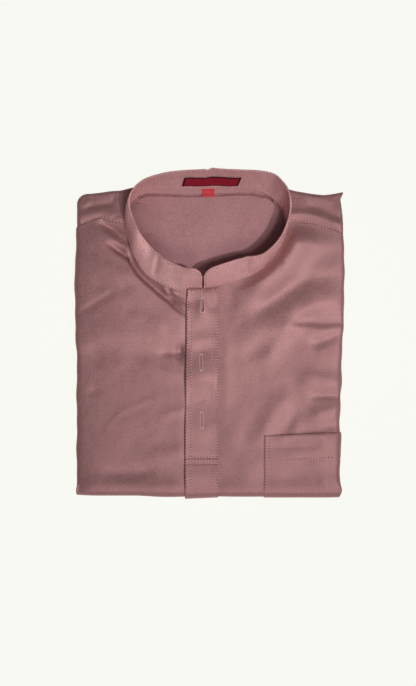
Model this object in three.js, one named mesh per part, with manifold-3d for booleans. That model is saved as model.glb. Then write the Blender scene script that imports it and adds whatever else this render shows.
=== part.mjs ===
// Folded baju melayu shirt in satin, lying on its back with the chest up.
// Millimetres, +Z up, +Y towards the collar, origin on the floor under the middle.
import * as THREE from 'three';
import { mergeVertices } from 'three/addons/utils/BufferGeometryUtils.js';
import Module from 'manifold-3d';

// Driving dimensions
const STACK = 20.5;            // height of the folded shirt where the chest is flat
const CLOTH = 1.0;             // wall of one layer of cloth
const COLLAR_WALL = 1.4;       // the collar is two layers and an interlining
const LAY = 0.4;               // air between a piece and the panel that it lies on
const SEAM = 0.4;              // air between two pieces at a seam
const SLAB = 7.0;              // depth of the roll where a side is turned under
const ROLL = 4.5;              // how far that roll swells sideways
const TUCK = 12;               // how far the turned side runs back in under the chest
const BEND_Y = -154;           // where the chest starts to turn round the bottom fold
const BEND_REACH = 9;          // how far the bottom fold swells past that line
const UNDER_END = 112;         // where the folded-up tail ends below the shoulders
const CROWN = 2.0;             // how much the chest is puffed up between its edges
const BAND = 28;               // height of the stand collar
const BAND_CORNER = 10.5;      // radius of the collar's two front corners
const CENTRE = -7;             // line of the front opening
const OPENING_END = -121;      // where the front opening stops
const OPENING_WIDTH = 0.8;
const POCKET_LEFT = 54;
const POCKET_TOP = -102;
const POCKET_TILT = 0.045;     // the pocket's mouth climbs towards the side
const POCKET_HEM = 25;
const TRIM_TURN = 0.74;        // share of the bottom fold that the placket and pocket go round
const DISH = 12.4;             // height of the back panel where it is seen inside the neck
const BACK_LEVEL = 14.3;       // height of the back panel under the shoulders
const NECK_MIDDLE = -4;        // middle of the neck opening, across

// Side folds of the chest: how far out they lie at each height on the chest
const SIDE_FOLDS = [
  { y: 145, left: -133.0, right: 132.6 },
  { y: 110, left: -133.2, right: 133.2 },
  { y: 60, left: -135.0, right: 134.0 },
  { y: 20, left: -135.0, right: 134.0 },
  { y: 0, left: -134.2, right: 132.6 },
  { y: -20, left: -133.2, right: 132.0 },
  { y: -60, left: -133.0, right: 130.6 },
  { y: -100, left: -133.0, right: 129.2 },
  { y: -165, left: -133.0, right: 128.8 },
];

// Shoulder seams, from the side fold to the neck
const LEFT_SEAM = [
  { x: -133.6, y: 106.6 }, { x: -117, y: 113.4 }, { x: -108, y: 115.6 }, { x: -100, y: 112.2 },
  { x: -94, y: 110.9 }, { x: -88, y: 110.4 }, { x: -80, y: 110.3 },
];
const RIGHT_SEAM = [
  { x: 72, y: 110.8 }, { x: 88, y: 111.0 }, { x: 101, y: 110.0 }, { x: 111, y: 107.7 },
  { x: 121, y: 104.7 }, { x: 133.8, y: 99.2 },
];

// Collar, from the wearer's right front end round the back to the other end.
// x and y are on the neck seam, lean_x and lean_y say how far the full band leans from there.
const COLLAR = [
  { x: -7.7, y: 46.4, lean_x: 0.0, lean_y: 16.0 },
  { x: -10, y: 46.4, lean_x: 0.3, lean_y: 16.4 },
  { x: -15, y: 46.2, lean_x: 1.2, lean_y: 17.4 },
  { x: -21.5, y: 45.8, lean_x: 1.8, lean_y: 18.4 },
  { x: -29, y: 43.6, lean_x: 2.6, lean_y: 22.0 },
  { x: -41.9, y: 46.6, lean_x: 3.8, lean_y: 24.0 },
  { x: -54, y: 52.4, lean_x: 5.4, lean_y: 24.5 },
  { x: -64.4, y: 59.7, lean_x: 6.8, lean_y: 25.2 },
  { x: -72.2, y: 70.5, lean_x: 6.2, lean_y: 24.2 },
  { x: -77.6, y: 82.5, lean_x: 5.2, lean_y: 22.4 },
  { x: -81.4, y: 95.5, lean_x: 4.4, lean_y: 21.0 },
  { x: -84.1, y: 108.3, lean_x: 4.4, lean_y: 20.1 },
  { x: -84.4, y: 119, lean_x: 6.6, lean_y: 19.4 },
  { x: -80.6, y: 128.5, lean_x: 8.7, lean_y: 18.2 },
  { x: -73, y: 137, lean_x: 9.3, lean_y: 15.6 },
  { x: -63.4, y: 142, lean_x: 9.8, lean_y: 14.3 },
  { x: -48.5, y: 144.4, lean_x: 8.8, lean_y: 15.6 },
  { x: -32.6, y: 144.9, lean_x: 7.6, lean_y: 16.5 },
  { x: -17, y: 145.2, lean_x: 6.8, lean_y: 16.8 },
  { x: -1.5, y: 145.5, lean_x: 5.6, lean_y: 17.4 },
  { x: 13.3, y: 145.7, lean_x: 5.8, lean_y: 16.2 },
  { x: 28.1, y: 145.7, lean_x: 6.0, lean_y: 15.6 },
  { x: 43, y: 144.2, lean_x: 6.6, lean_y: 16.6 },
  { x: 56.4, y: 139.5, lean_x: 7.0, lean_y: 18.4 },
  { x: 65, y: 133.5, lean_x: 6.4, lean_y: 17.4 },
  { x: 72.3, y: 126.2, lean_x: 5.3, lean_y: 16.1 },
  { x: 75.5, y: 116.5, lean_x: 4.0, lean_y: 15.6 },
  { x: 76.3, y: 105.8, lean_x: 2.8, lean_y: 15.6 },
  { x: 73, y: 94, lean_x: 2.8, lean_y: 14.8 },
  { x: 66.9, y: 82.8, lean_x: 3.6, lean_y: 14.4 },
  { x: 59, y: 73, lean_x: 3.5, lean_y: 13.8 },
  { x: 50.3, y: 63.8, lean_x: 2.8, lean_y: 15.2 },
  { x: 39.5, y: 58, lean_x: 1.6, lean_y: 17.4 },
  { x: 27.2, y: 53.4, lean_x: 1.0, lean_y: 19.4 },
  { x: 16.5, y: 50.4, lean_x: 0.8, lean_y: 19.4 },
  { x: 8.9, y: 48.5, lean_x: 0.6, lean_y: 18.8 },
  { x: 1.5, y: 47.0, lean_x: 0.4, lean_y: 17.8 },
  { x: -3.6, y: 46.5, lean_x: 0.2, lean_y: 16.6 },
  { x: -6.2, y: 46.4, lean_x: 0.0, lean_y: 16.0 },
];
const BACK_FIRST = 14;         // collar stations from here to BACK_LAST are sewn to the back panel
const BACK_LAST = 24;

// Soft folds of the chest: a line from one point to another, bowed sideways, with a
// width and a rise, which is negative in a trough
const FOLDS = [
  { x1: -106, y1: 112, x2: -25, y2: 21, bow: -7, width: 5, rise: -2.0 },
  { x1: -112, y1: 100, x2: -46, y2: 22, bow: -8, width: 7, rise: 1.0 },
  { x1: -126, y1: 22, x2: -104, y2: 37, bow: 0, width: 5, rise: -1.0 },
  { x1: -128, y1: -22, x2: -30, y2: -16, bow: 3, width: 8, rise: -1.5 },
  { x1: -128, y1: -6, x2: -40, y2: -4, bow: 3, width: 9, rise: 0.7 },
  { x1: -104, y1: -98, x2: -43, y2: -62, bow: 7, width: 7, rise: 0.7 },
  { x1: -112, y1: -142, x2: -36, y2: -138, bow: 0, width: 9, rise: -1.0 },
  { x1: 92, y1: 104, x2: 32, y2: 28, bow: 10, width: 8, rise: 1.6 },
  { x1: 128, y1: 92, x2: 50, y2: 22, bow: -5, width: 8, rise: -1.6 },
  { x1: 130, y1: 53, x2: 50, y2: -16, bow: -13, width: 8, rise: 1.8 },
  { x1: 130, y1: 8, x2: 82, y2: 9, bow: 0, width: 5, rise: -1.7 },
  { x1: 130, y1: -2, x2: 108, y2: -14, bow: 0, width: 5, rise: 0.8 },
  { x1: 130, y1: -38, x2: 96, y2: -36, bow: 2, width: 6, rise: -1.1 },
  { x1: 128, y1: -64, x2: 112, y2: -66, bow: 0, width: 7, rise: -1.0 },
  { x1: 69, y1: -62, x2: 42, y2: -96, bow: 2, width: 7, rise: -1.1 },
  { x1: 42, y1: 2, x2: 22, y2: -28, bow: 2, width: 6, rise: 0.7 },
];

// Small helpers
const lerp = THREE.MathUtils.lerp;
const smooth = (low, high, value) => THREE.MathUtils.smoothstep(value, low, high);
const steps = (from, to, count) => Array.from({ length: count + 1 }, (_, i) => lerp(from, to, i / count));

function lookUp(table, key, at, column) {
  const rising = table[table.length - 1][key] > table[0][key];
  const rows = rising ? table : [...table].reverse();
  if (at <= rows[0][key]) return rows[0][column];
  for (let i = 1; i < rows.length; i += 1) {
    if (at <= rows[i][key]) {
      const share = (at - rows[i - 1][key]) / (rows[i][key] - rows[i - 1][key]);
      return lerp(rows[i - 1][column], rows[i][column], share);
    }
  }
  return rows[rows.length - 1][column];
}

// How far out the side fold lies at a height on the chest
const foldEdge = (side, y) => lookUp(SIDE_FOLDS, 'y', y, side < 0 ? 'left' : 'right');

// Neck seam of the front panel, as a height for each place across
const LEFT_NECK = COLLAR.slice(0, 12);
const RIGHT_NECK = COLLAR.slice(27);
function neckSeam(x) {
  return x < CENTRE ? lookUp(LEFT_NECK, 'x', x, 'y') : lookUp(RIGHT_NECK, 'x', x, 'y');
}

// Upper edge of the front panel: it runs in under the collar, or up to the shoulder seam
const NECK_TURN_IN = 1.8;
function frontTop(x) {
  const seam = x < CENTRE ? lookUp(LEFT_SEAM, 'x', x, 'y') : lookUp(RIGHT_SEAM, 'x', x, 'y');
  const shoulder = seam - SEAM;
  const inside = x > LEFT_NECK[11].x + NECK_TURN_IN && x < RIGHT_NECK[0].x - NECK_TURN_IN;
  if (!inside) return shoulder;
  const outward = x < CENTRE ? -NECK_TURN_IN : NECK_TURN_IN;
  return Math.min(shoulder, neckSeam(x + outward) + NECK_TURN_IN * 0.7);
}

// Rise of one soft fold at a point of the chest
function foldRise(fold, x, y) {
  const length = Math.hypot(fold.x2 - fold.x1, fold.y2 - fold.y1);
  const alongX = (fold.x2 - fold.x1) / length;
  const alongY = (fold.y2 - fold.y1) / length;
  const along = (x - fold.x1) * alongX + (y - fold.y1) * alongY;
  const share = along / length;
  const bowed = fold.bow * 4 * share * (1 - share);
  const across = (x - fold.x1) * -alongY + (y - fold.y1) * alongX - bowed;
  const ends = smooth(-0.12, 0.18, share) * (1 - smooth(0.82, 1.12, share));
  return fold.rise * ends * Math.exp(-((across / fold.width) ** 2));
}

// Lift of the chest above its flat level: the crown and the soft folds, flat at every edge
function chestLift(x, y) {
  const side = x < 0 ? -1 : 1;
  const inFromSide = Math.abs(foldEdge(side, y) - x);
  const seam = x < CENTRE ? lookUp(LEFT_SEAM, 'x', x, 'y') : lookUp(RIGHT_SEAM, 'x', x, 'y');
  const shoulderFade = smooth(0, 22, seam - y);
  const fade = smooth(ROLL, ROLL + 16, inFromSide) * smooth(0, 16, y - BEND_Y) * shoulderFade;
  const bySlit = 1 - 0.6 * (1 - smooth(9, 20, Math.abs(x - CENTRE)));
  const folds = FOLDS.reduce((sum, fold) => sum + foldRise(fold, x, y), 0);
  return fade * Math.max(CROWN * bySlit + folds * smooth(6, 26, Math.abs(x - CENTRE)), -0.3);
}

// A point of the front panel. A column is a place across the chest: flat at an x, on the
// roll of a side fold, or on the turned-under side. A row is a place along it: on the
// chest, on the bottom fold, or on the underside. out moves the point off the cloth.
function panelPoint(column, row, out = 0, lifted = true) {
  const top = column.top ?? frontTop(column.x ?? foldEdge(column.side, 105));
  let y = row.y ?? lerp(top, BEND_Y, row.share ?? 0);
  let z = STACK;
  let normalY = 0;
  let normalZ = 1;
  if (row.turn !== undefined) {
    const angle = row.turn * Math.PI;
    y = BEND_Y - BEND_REACH * Math.sin(angle);
    z = STACK / 2 * (1 + Math.cos(angle));
    normalY = -Math.sin(angle) / BEND_REACH;
    normalZ = Math.cos(angle) / (STACK / 2);
    const size = Math.hypot(normalY, normalZ);
    normalY /= size;
    normalZ /= size;
  } else if (row.under) {
    z = 0;
    normalZ = -1;
  }
  let x = column.x;
  let depth = -out;
  if (column.side !== undefined) {
    const edge = foldEdge(column.side, y);
    const angle = (column.roll ?? 1) * Math.PI;
    const swellX = ROLL + out;
    const swellZ = SLAB / 2 + out;
    x = edge - column.side * (ROLL - swellX * Math.sin(angle) + (column.tuck ?? 0));
    depth = SLAB / 2 - swellZ * Math.cos(angle);
  } else if (lifted && row.turn === undefined && !row.under) {
    depth -= chestLift(x, y);
  }
  return new THREE.Vector3(x, y - depth * normalY, z - depth * normalZ);
}

const grid = (columns, rows, point) => rows.map((row) => columns.map((column) => point(column, row)));

// Closed wall between an outer and an inner grid of points
function wallGeometry(outer, inner) {
  const high = outer.length;
  const wide = outer[0].length;
  const points = [...outer.flat(), ...inner.flat()];
  const index = [];
  const shift = high * wide;
  const quad = (a, b, c, d) => index.push(a, b, c, a, c, d);
  for (let r = 0; r < high - 1; r += 1) {
    for (let c = 0; c < wide - 1; c += 1) {
      const at = r * wide + c;
      quad(at, at + 1, at + wide + 1, at + wide);
      quad(shift + at, shift + at + wide, shift + at + wide + 1, shift + at + 1);
    }
  }
  const rim = [];
  for (let c = 0; c < wide - 1; c += 1) rim.push(c);
  for (let r = 0; r < high - 1; r += 1) rim.push(r * wide + wide - 1);
  for (let c = wide - 1; c > 0; c -= 1) rim.push((high - 1) * wide + c);
  for (let r = high - 1; r > 0; r -= 1) rim.push(r * wide);
  rim.forEach((at, i) => {
    const next = rim[(i + 1) % rim.length];
    quad(at, shift + at, shift + next, next);
  });
  return facingOut(points, index);
}

// Indexed geometry with its faces turned outwards
function facingOut(points, index) {
  let volume = 0;
  const cross = new THREE.Vector3();
  for (let i = 0; i < index.length; i += 3) {
    cross.crossVectors(points[index[i + 1]], points[index[i + 2]]);
    volume += points[index[i]].dot(cross);
  }
  if (volume < 0) index.reverse();
  const geometry = new THREE.BufferGeometry().setFromPoints(points);
  geometry.setIndex(index);
  return geometry;
}

// Wall of a grid function between two distances off the cloth
function panelWall(columns, rows, outside, thickness, lifted = true) {
  const outer = grid(columns, rows, (column, row) => panelPoint(column, row, outside, lifted));
  const inner = grid(columns, rows, (column, row) => panelPoint(column, row, outside - thickness, lifted));
  return wallGeometry(outer, inner);
}

// Joins and cuts
const wasm = await Module();
wasm.setup();

function solidOf(geometry) {
  const bare = new THREE.BufferGeometry();
  bare.setAttribute('position', geometry.getAttribute('position'));
  bare.setIndex(geometry.getIndex());
  const merged = mergeVertices(bare, 1e-4);
  return new wasm.Manifold(new wasm.Mesh({
    numProp: 3,
    vertProperties: new Float32Array(merged.getAttribute('position').array),
    triVerts: new Uint32Array(merged.getIndex().array),
  }));
}

function geometryOf(solid) {
  const mesh = solid.getMesh();
  const geometry = new THREE.BufferGeometry();
  geometry.setAttribute('position', new THREE.BufferAttribute(new Float32Array(mesh.vertProperties), 3));
  geometry.setIndex(new THREE.BufferAttribute(new Uint32Array(mesh.triVerts), 1));
  return geometry;
}

function boxSolid(low, high) {
  const geometry = new THREE.BoxGeometry(high[0] - low[0], high[1] - low[1], high[2] - low[2]);
  geometry.translate((low[0] + high[0]) / 2, (low[1] + high[1]) / 2, (low[2] + high[2]) / 2);
  return solidOf(geometry);
}

// Columns and rows of the front panel
const LEFT_FLAT = [-126, -117, -108, -100, -92, -87, -83.5, -81.5, -79, -75, -70, -63, -55, -45, -34, -24, -16];
const RIGHT_FLAT = [2, 12, 22, 34, 45, 53, 60, 65, 69.5, 73, 76, 82, 90, 100, 111, 121];
const sideColumns = (side) => [
  { side, roll: 0 }, { side, roll: 0.25 }, { side, roll: 0.5 }, { side, roll: 0.75 },
  { side, roll: 1 }, { side, roll: 1, tuck: TUCK },
];

function withTops(columns) {
  return columns.map((column) => {
    if (column.side === undefined) return { ...column, top: frontTop(column.x) };
    const x = foldEdge(column.side, 105) - column.side * (ROLL * (1 - Math.sin(column.roll * Math.PI))
      + (column.tuck ?? 0));
    return { ...column, top: frontTop(x) };
  });
}

const FRONT_COLUMNS = withTops([
  ...sideColumns(-1).reverse(),
  ...LEFT_FLAT.map((x) => ({ x })),
  { x: CENTRE - 1 }, { x: CENTRE + 1 },
  ...RIGHT_FLAT.map((x) => ({ x })),
  ...sideColumns(1),
]);
const CHEST_ROWS = steps(0, 1, 24).map((share) => ({ share }));
const BEND_ROWS = steps(0, 1, 8).slice(1, -1).map((turn) => ({ turn }));
const UNDER_ROWS = steps(BEND_Y, UNDER_END, 4).map((y) => ({ under: true, y }));

function frontPanel() {
  const panel = solidOf(panelWall(FRONT_COLUMNS, [...CHEST_ROWS, ...BEND_ROWS, ...UNDER_ROWS], 0, CLOTH));
  const half = OPENING_WIDTH / 2;
  const slit = boxSolid([CENTRE - half, OPENING_END, STACK - 4], [CENTRE + half, 80, STACK + 8]);
  return geometryOf(panel.subtract(slit));
}

// Placket: the band lies over the opening and steps down to the chest on its right
const PLACKET_EDGE = [
  { y: -170, x: -25.0 }, { y: -126, x: -25.5 }, { y: -66, x: -25.0 }, { y: -6, x: -24.0 },
  { y: 34, x: -24.0 }, { y: 46, x: -22.6 },
];
const PLACKET_RIGHT = 8;
const UNDER_LEFT = -20.5;
const UNDER_RIGHT = -3.5;
const COLLAR_CLEAR = 0.9;

function placketPanel() {
  const levels = [
    { share: 0, out: 2 * (LAY + CLOTH) }, { share: 0.28, out: 2 * (LAY + CLOTH) },
    { share: 0.6, out: 2 * (LAY + CLOTH) }, { share: 0.7, out: 2 * (LAY + CLOTH) },
    { share: 0.85, out: 1.6 * (LAY + CLOTH) }, { share: 1, out: LAY + CLOTH },
  ];
  const rows = [...steps(0, 1, 26).map((share) => ({ share })),
    ...steps(0, TRIM_TURN, 7).slice(1).map((turn) => ({ turn }))];
  const pointAt = (level, row, lower) => {
    const startX = lerp(PLACKET_EDGE[5].x, PLACKET_RIGHT, level.share);
    const top = neckSeam(startX) - COLLAR_CLEAR - (startX < CENTRE ? 0.6 : 0);
    const y = row.share === undefined ? BEND_Y : lerp(top, BEND_Y, row.share);
    const x = lerp(lookUp(PLACKET_EDGE, 'y', y, 'x'), PLACKET_RIGHT, level.share);
    return panelPoint({ x, top }, row, level.out - lower);
  };
  const outer = grid(levels, rows, (level, row) => pointAt(level, row, 0));
  const inner = grid(levels, rows, (level, row) => pointAt(level, row, CLOTH));
  return wallGeometry(outer, inner);
}

function underPlacket() {
  const columns = steps(UNDER_LEFT, UNDER_RIGHT, 3).map((x) => ({ x, top: 44.2 }));
  const rows = steps(0, 1, 22).map((share) => ({ y: lerp(44.2, OPENING_END + 2, share) }));
  return panelWall(columns, rows, LAY + CLOTH, CLOTH);
}

// Patch pocket: its mouth has a turned-in hem, and it goes round the side and bottom folds
function pocketPanel() {
  const flat = [POCKET_LEFT, 62, 71, 80, 90, 100, 111, 121].map((x) => ({ x }));
  const around = [0, 0.25, 0.5, 0.75].map((roll) => ({ side: 1, roll }));
  const columns = [...flat, ...around];
  const mouth = (column) => POCKET_TOP + (Math.min(column.x ?? 130, 130) - POCKET_LEFT) * POCKET_TILT;
  const rows = [0, 0.06, 0.45, 0.5, 0.56, 0.78, 1].map((share) => ({ share }));
  const turns = steps(0, TRIM_TURN, 6).slice(1).map((turn) => ({ turn }));
  const hemShare = POCKET_HEM / (POCKET_TOP - BEND_Y);
  const pointAt = (column, row, lower) => {
    const top = mouth(column);
    const place = row.turn === undefined ? { y: lerp(top, BEND_Y, row.share) } : row;
    const hem = row.share !== undefined && row.share < hemShare ? 0.5 : 0;
    return panelPoint(column, place, LAY + CLOTH + hem - lower);
  };
  const all = [...rows, ...turns];
  const outer = grid(columns, all, (column, row) => pointAt(column, row, 0));
  const inner = grid(columns, all, (column, row) => pointAt(column, row, CLOTH));
  return wallGeometry(outer, inner);
}

// Shoulder flaps of the back panel: spokes from the seam or the neck to the outer edge,
// where the cloth rolls over and runs back in under the chest
const LEFT_SPOKES = [
  { x: -117, y: 113.4, edge_x: -133.2, edge_y: 106.8 },
  { x: -113, y: 114.6, edge_x: -133.3, edge_y: 115 },
  { x: -110, y: 115.2, edge_x: -133.2, edge_y: 124 },
  { x: -108.6, y: 115.6, edge_x: -133, edge_y: 132 },
  { x: -107.4, y: 115.4, edge_x: -131.6, edge_y: 137 },
  { x: -106, y: 114.8, edge_x: -127, edge_y: 139.4 },
  { x: -103.5, y: 113.7, edge_x: -118, edge_y: 140.3 },
  { x: -99.5, y: 112.1, edge_x: -108, edge_y: 141.5 },
  { x: -93, y: 110.9, edge_x: -99, edge_y: 142.6 },
  { x: -82.4, y: 110.4, edge_x: -92, edge_y: 143.2 },
  { x: -82.4, y: 118, edge_x: -87, edge_y: 144 },
  { x: -78.8, y: 127, edge_x: -81, edge_y: 145.6 },
  { x: -71.6, y: 135.3, edge_x: -72, edge_y: 147.6 },
];
const RIGHT_SPOKES = [
  { x: 121, y: 104.7, edge_x: 133.2, edge_y: 99.4 },
  { x: 116, y: 106.2, edge_x: 133.2, edge_y: 110 },
  { x: 113, y: 107.1, edge_x: 132.4, edge_y: 120 },
  { x: 110.8, y: 107.7, edge_x: 131.6, edge_y: 130 },
  { x: 109, y: 108.2, edge_x: 132.2, edge_y: 137 },
  { x: 107.2, y: 108.6, edge_x: 131.0, edge_y: 140.6 },
  { x: 104.5, y: 109.2, edge_x: 125, edge_y: 140.0 },
  { x: 101, y: 110, edge_x: 115, edge_y: 139.0 },
  { x: 94, y: 110.6, edge_x: 104, edge_y: 139.8 },
  { x: 86, y: 110.9, edge_x: 94, edge_y: 141.4 },
  { x: 74.3, y: 111, edge_x: 85, edge_y: 143 },
  { x: 73.4, y: 117.4, edge_x: 80, edge_y: 144.4 },
  { x: 70, y: 125.2, edge_x: 74, edge_y: 145.8 },
  { x: 63.2, y: 132, edge_x: 65, edge_y: 147.4 },
];
const FLAP_ROLL = 4;
const FLAP_TUCK = 11;
const NECK_DROP = 3.2;         // the shoulders sink towards the back of the neck

function flapHeight(x, y) {
  const nearNeck = 1 - smooth(80, 94, Math.abs(x - NECK_MIDDLE));
  return STACK - NECK_DROP * smooth(111, 146, y) * nearNeck;
}

function flapPoint(spoke, place, out) {
  const reach = Math.hypot(spoke.edge_x - spoke.x, spoke.edge_y - spoke.y);
  const dirX = (spoke.edge_x - spoke.x) / reach;
  const dirY = (spoke.edge_y - spoke.y) / reach;
  const flat = reach - FLAP_ROLL;
  const rollX = spoke.x + dirX * flat;
  const rollY = spoke.y + dirY * flat;
  const top = flapHeight(rollX, rollY);
  const half = (top - BACK_LEVEL + CLOTH) / 2;
  let along = flat;
  let z = flapHeight(spoke.x + dirX * flat * (place.share ?? 1), spoke.y + dirY * flat * (place.share ?? 1)) + out;
  if (place.share !== undefined) {
    along = flat * place.share;
  } else {
    const angle = place.roll * Math.PI;
    along = flat + (FLAP_ROLL + out) * Math.sin(angle) - (place.tuck ?? 0);
    z = top - half + (half + out) * Math.cos(angle);
  }
  return new THREE.Vector3(spoke.x + dirX * along, spoke.y + dirY * along, z);
}

function shoulderFlap(spokes) {
  const places = [{ share: 0 }, { share: 0.33 }, { share: 0.66 }, { share: 1 },
    ...[0.25, 0.5, 0.75, 1].map((roll) => ({ roll })), { roll: 1, tuck: FLAP_TUCK }];
  const outer = grid(spokes, places, (spoke, place) => flapPoint(spoke, place, 0));
  const inner = grid(spokes, places, (spoke, place) => flapPoint(spoke, place, -CLOTH));
  return solidOf(wallGeometry(outer, inner));
}

// Back panel as it is seen through the neck: a shallow dish that climbs to the back neck seam
const BACK_NECK = COLLAR.slice(BACK_FIRST, BACK_LAST + 1);
const backEdgeHeight = (x) => 15.2 + 2.0 * ((x - NECK_MIDDLE) / 72) ** 2;

function dishHeight(x, y) {
  const across = Math.abs(x - NECK_MIDDLE) / 90;
  const along = Math.abs(y - 95) / 60;
  const sunk = 1 - smooth(0.3, 1, Math.hypot(across, along));
  const rest = BACK_LEVEL - (BACK_LEVEL - DISH) * sunk;
  const seam = lookUp(BACK_NECK, 'x', x, 'y');
  const climb = smooth(-9, 1, y - seam) * (1 - smooth(60, 72, Math.abs(x - NECK_MIDDLE)));
  return lerp(rest, backEdgeHeight(x), climb);
}

const DISH_LEFT = -97;
const DISH_RIGHT = 92;
const DISH_COLUMNS = [...steps(DISH_LEFT, -69, 4), ...steps(-62, 56, 14), ...steps(62, DISH_RIGHT, 5)];
const UNDER_FRONT = 13;        // how far the back panel is built in under the front of the neck

function dishSpan(x) {
  const low = Math.max(Math.min(neckSeam(x), 104) - UNDER_FRONT, 33);
  const atNeck = Math.abs(x - NECK_MIDDLE) < 68;
  const high = atNeck ? lookUp(BACK_NECK, 'x', x, 'y') + 1.2 : 134.5;
  return { low, high };
}

function dishSheet() {
  const shares = [0, 0.12, 0.25, 0.4, 0.55, 0.7, 0.82, 0.88, 0.92, 0.96, 1];
  const point = (x, share, lower) => {
    const span = dishSpan(x);
    const y = lerp(span.low, span.high, share);
    return new THREE.Vector3(x, y, dishHeight(x, y) - lower);
  };
  const outer = grid(DISH_COLUMNS, shares, (x, share) => point(x, share, 0));
  const inner = grid(DISH_COLUMNS, shares, (x, share) => point(x, share, CLOTH));
  return solidOf(wallGeometry(outer, inner));
}

function backPanel() {
  return geometryOf(dishSheet().add(shoulderFlap(LEFT_SPOKES)).add(shoulderFlap(RIGHT_SPOKES)));
}

// Stand collar: a strip of cloth from the neck seam to its free edge, front corners rounded
function seamHeight(station, index) {
  const sewnToBack = index >= BACK_FIRST && index <= BACK_LAST;
  if (sewnToBack) return Math.max(backEdgeHeight(station.x), index === BACK_FIRST || index === BACK_LAST
    ? flapHeight(station.x, station.y) : 0) + SEAM;
  const onFront = station.y < 110;
  const cloth = onFront ? STACK + chestLift(station.x, station.y) : flapHeight(station.x, station.y);
  return cloth + SEAM;
}

function bandShare(index) {
  const last = COLLAR.length - 1;
  const end = index <= last / 2 ? 0 : last;
  const away = Math.hypot(COLLAR[index].x - COLLAR[end].x, COLLAR[index].y - COLLAR[end].y);
  if (away >= BAND_CORNER) return 1;
  const drop = BAND_CORNER - Math.sqrt(BAND_CORNER ** 2 - (BAND_CORNER - away) ** 2);
  return 1 - drop / BAND;
}

function collarFrame(index) {
  const station = COLLAR[index];
  const plan = Math.hypot(station.lean_x, station.lean_y);
  const rise = Math.sqrt(Math.max(BAND ** 2 - plan ** 2, 0));
  const dip = COLLAR_WALL / 2 * plan / BAND;
  return {
    base: new THREE.Vector3(station.x, station.y, seamHeight(station, index) + dip),
    lean: new THREE.Vector3(station.lean_x, station.lean_y, rise),
    share: bandShare(index),
  };
}

// A point on the band: up is 0 at the neck seam and 1 at the free edge, and inward moves
// it off the middle of the band towards the neck
const FRAMES = COLLAR.map((_, index) => collarFrame(index));
function collarPoint(index, up, inward) {
  const frame = FRAMES[index];
  const before = FRAMES[Math.max(index - 1, 0)];
  const after = FRAMES[Math.min(index + 1, FRAMES.length - 1)];
  const along = after.base.clone().addScaledVector(after.lean, 0.5)
    .sub(before.base.clone().addScaledVector(before.lean, 0.5));
  const normal = new THREE.Vector3().crossVectors(along, frame.lean).normalize();
  const bulge = 0.8 * Math.sin(Math.PI * up);
  return frame.base.clone().addScaledVector(frame.lean, up * frame.share)
    .addScaledVector(normal, inward - bulge);
}

function collarBand() {
  const stations = COLLAR.map((_, index) => index);
  const ups = [0, 0.3, 0.62, 1];
  const outer = grid(stations, ups, (index, up) => collarPoint(index, up, -COLLAR_WALL / 2));
  const inner = grid(stations, ups, (index, up) => collarPoint(index, up, COLLAR_WALL / 2));
  return wallGeometry(outer, inner);
}

// Woven label, sewn inside the collar at the back
function neckLabel() {
  const stations = [17.3, 18, 19, 20, 20.98];
  const ups = [0.15, 0.37, 0.6];
  const between = (place, up, inward) => {
    const index = Math.floor(place);
    const low = collarPoint(index, up, inward);
    const high = collarPoint(Math.min(index + 1, COLLAR.length - 1), up, inward);
    return low.lerp(high, place - index);
  };
  const near = COLLAR_WALL / 2 + LAY;
  const outer = grid(stations, ups, (place, up) => between(place, up, near + CLOTH));
  const inner = grid(stations, ups, (place, up) => between(place, up, near));
  return wallGeometry(outer, inner);
}

// Size tab, hanging from the back neck seam over the back panel
function sizeTab() {
  const columns = steps(-8, 4.5, 2);
  const rows = [143.6, 141.4, 139.2, 137.2];
  const outer = grid(columns, rows, (x, y) => new THREE.Vector3(x, y, dishHeight(x, y) + LAY + CLOTH));
  const inner = grid(columns, rows, (x, y) => new THREE.Vector3(x, y, dishHeight(x, y) + LAY));
  return wallGeometry(outer, inner);
}

// The hidden layers: sides, sleeves and tail, folded up into one solid with layered edges
const FILL_TOP = 1.9;          // depth of the hidden layers below the chest
const FILL_DEPTH = 3.1;
const LIPS = [
  { left: -126.5, right: 125.0, low: -139, high: 131, from: 10.3, to: 12.9 },
  { left: -123.5, right: 124.0, low: -136, high: 127, from: 7.4, to: 10.5 },
  { left: -126.5, right: 124.5, low: -120, high: 120, from: 1.5, to: 5.5 },
];

function roundedSlab(lip) {
  const radius = (lip.to - lip.from) / 2;
  const corner = 9;
  const ring = (inset, z) => {
    const points = [];
    const corners = [
      { x: lip.right, y: lip.high, start: 0 }, { x: lip.left, y: lip.high, start: 0.5 },
      { x: lip.left, y: lip.low, start: 1 }, { x: lip.right, y: lip.low, start: 1.5 },
    ];
    for (const { x, y, start } of corners) {
      const centreX = x - Math.sign(x) * corner;
      const centreY = y - Math.sign(y) * corner;
      for (const angle of steps(start * Math.PI, (start + 0.5) * Math.PI, 4)) {
        points.push(new THREE.Vector3(centreX + (corner - inset) * Math.cos(angle),
          centreY + (corner - inset) * Math.sin(angle), z));
      }
    }
    return points;
  };
  const rings = steps(-0.5, 0.5, 6).map((turn) => ring(radius * (1 - Math.cos(turn * Math.PI)),
    lip.from + radius + radius * Math.sin(turn * Math.PI)));
  const count = rings[0].length;
  const points = rings.flat();
  const index = [];
  for (let r = 0; r < rings.length - 1; r += 1) {
    for (let i = 0; i < count; i += 1) {
      const next = (i + 1) % count;
      const at = r * count;
      index.push(at + i, at + next, at + count + next, at + i, at + count + next, at + count + i);
    }
  }
  const last = (rings.length - 1) * count;
  for (let i = 1; i < count - 1; i += 1) {
    index.push(0, i + 1, i);
    index.push(last, last + i, last + i + 1);
  }
  return solidOf(facingOut(points, index));
}

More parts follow.
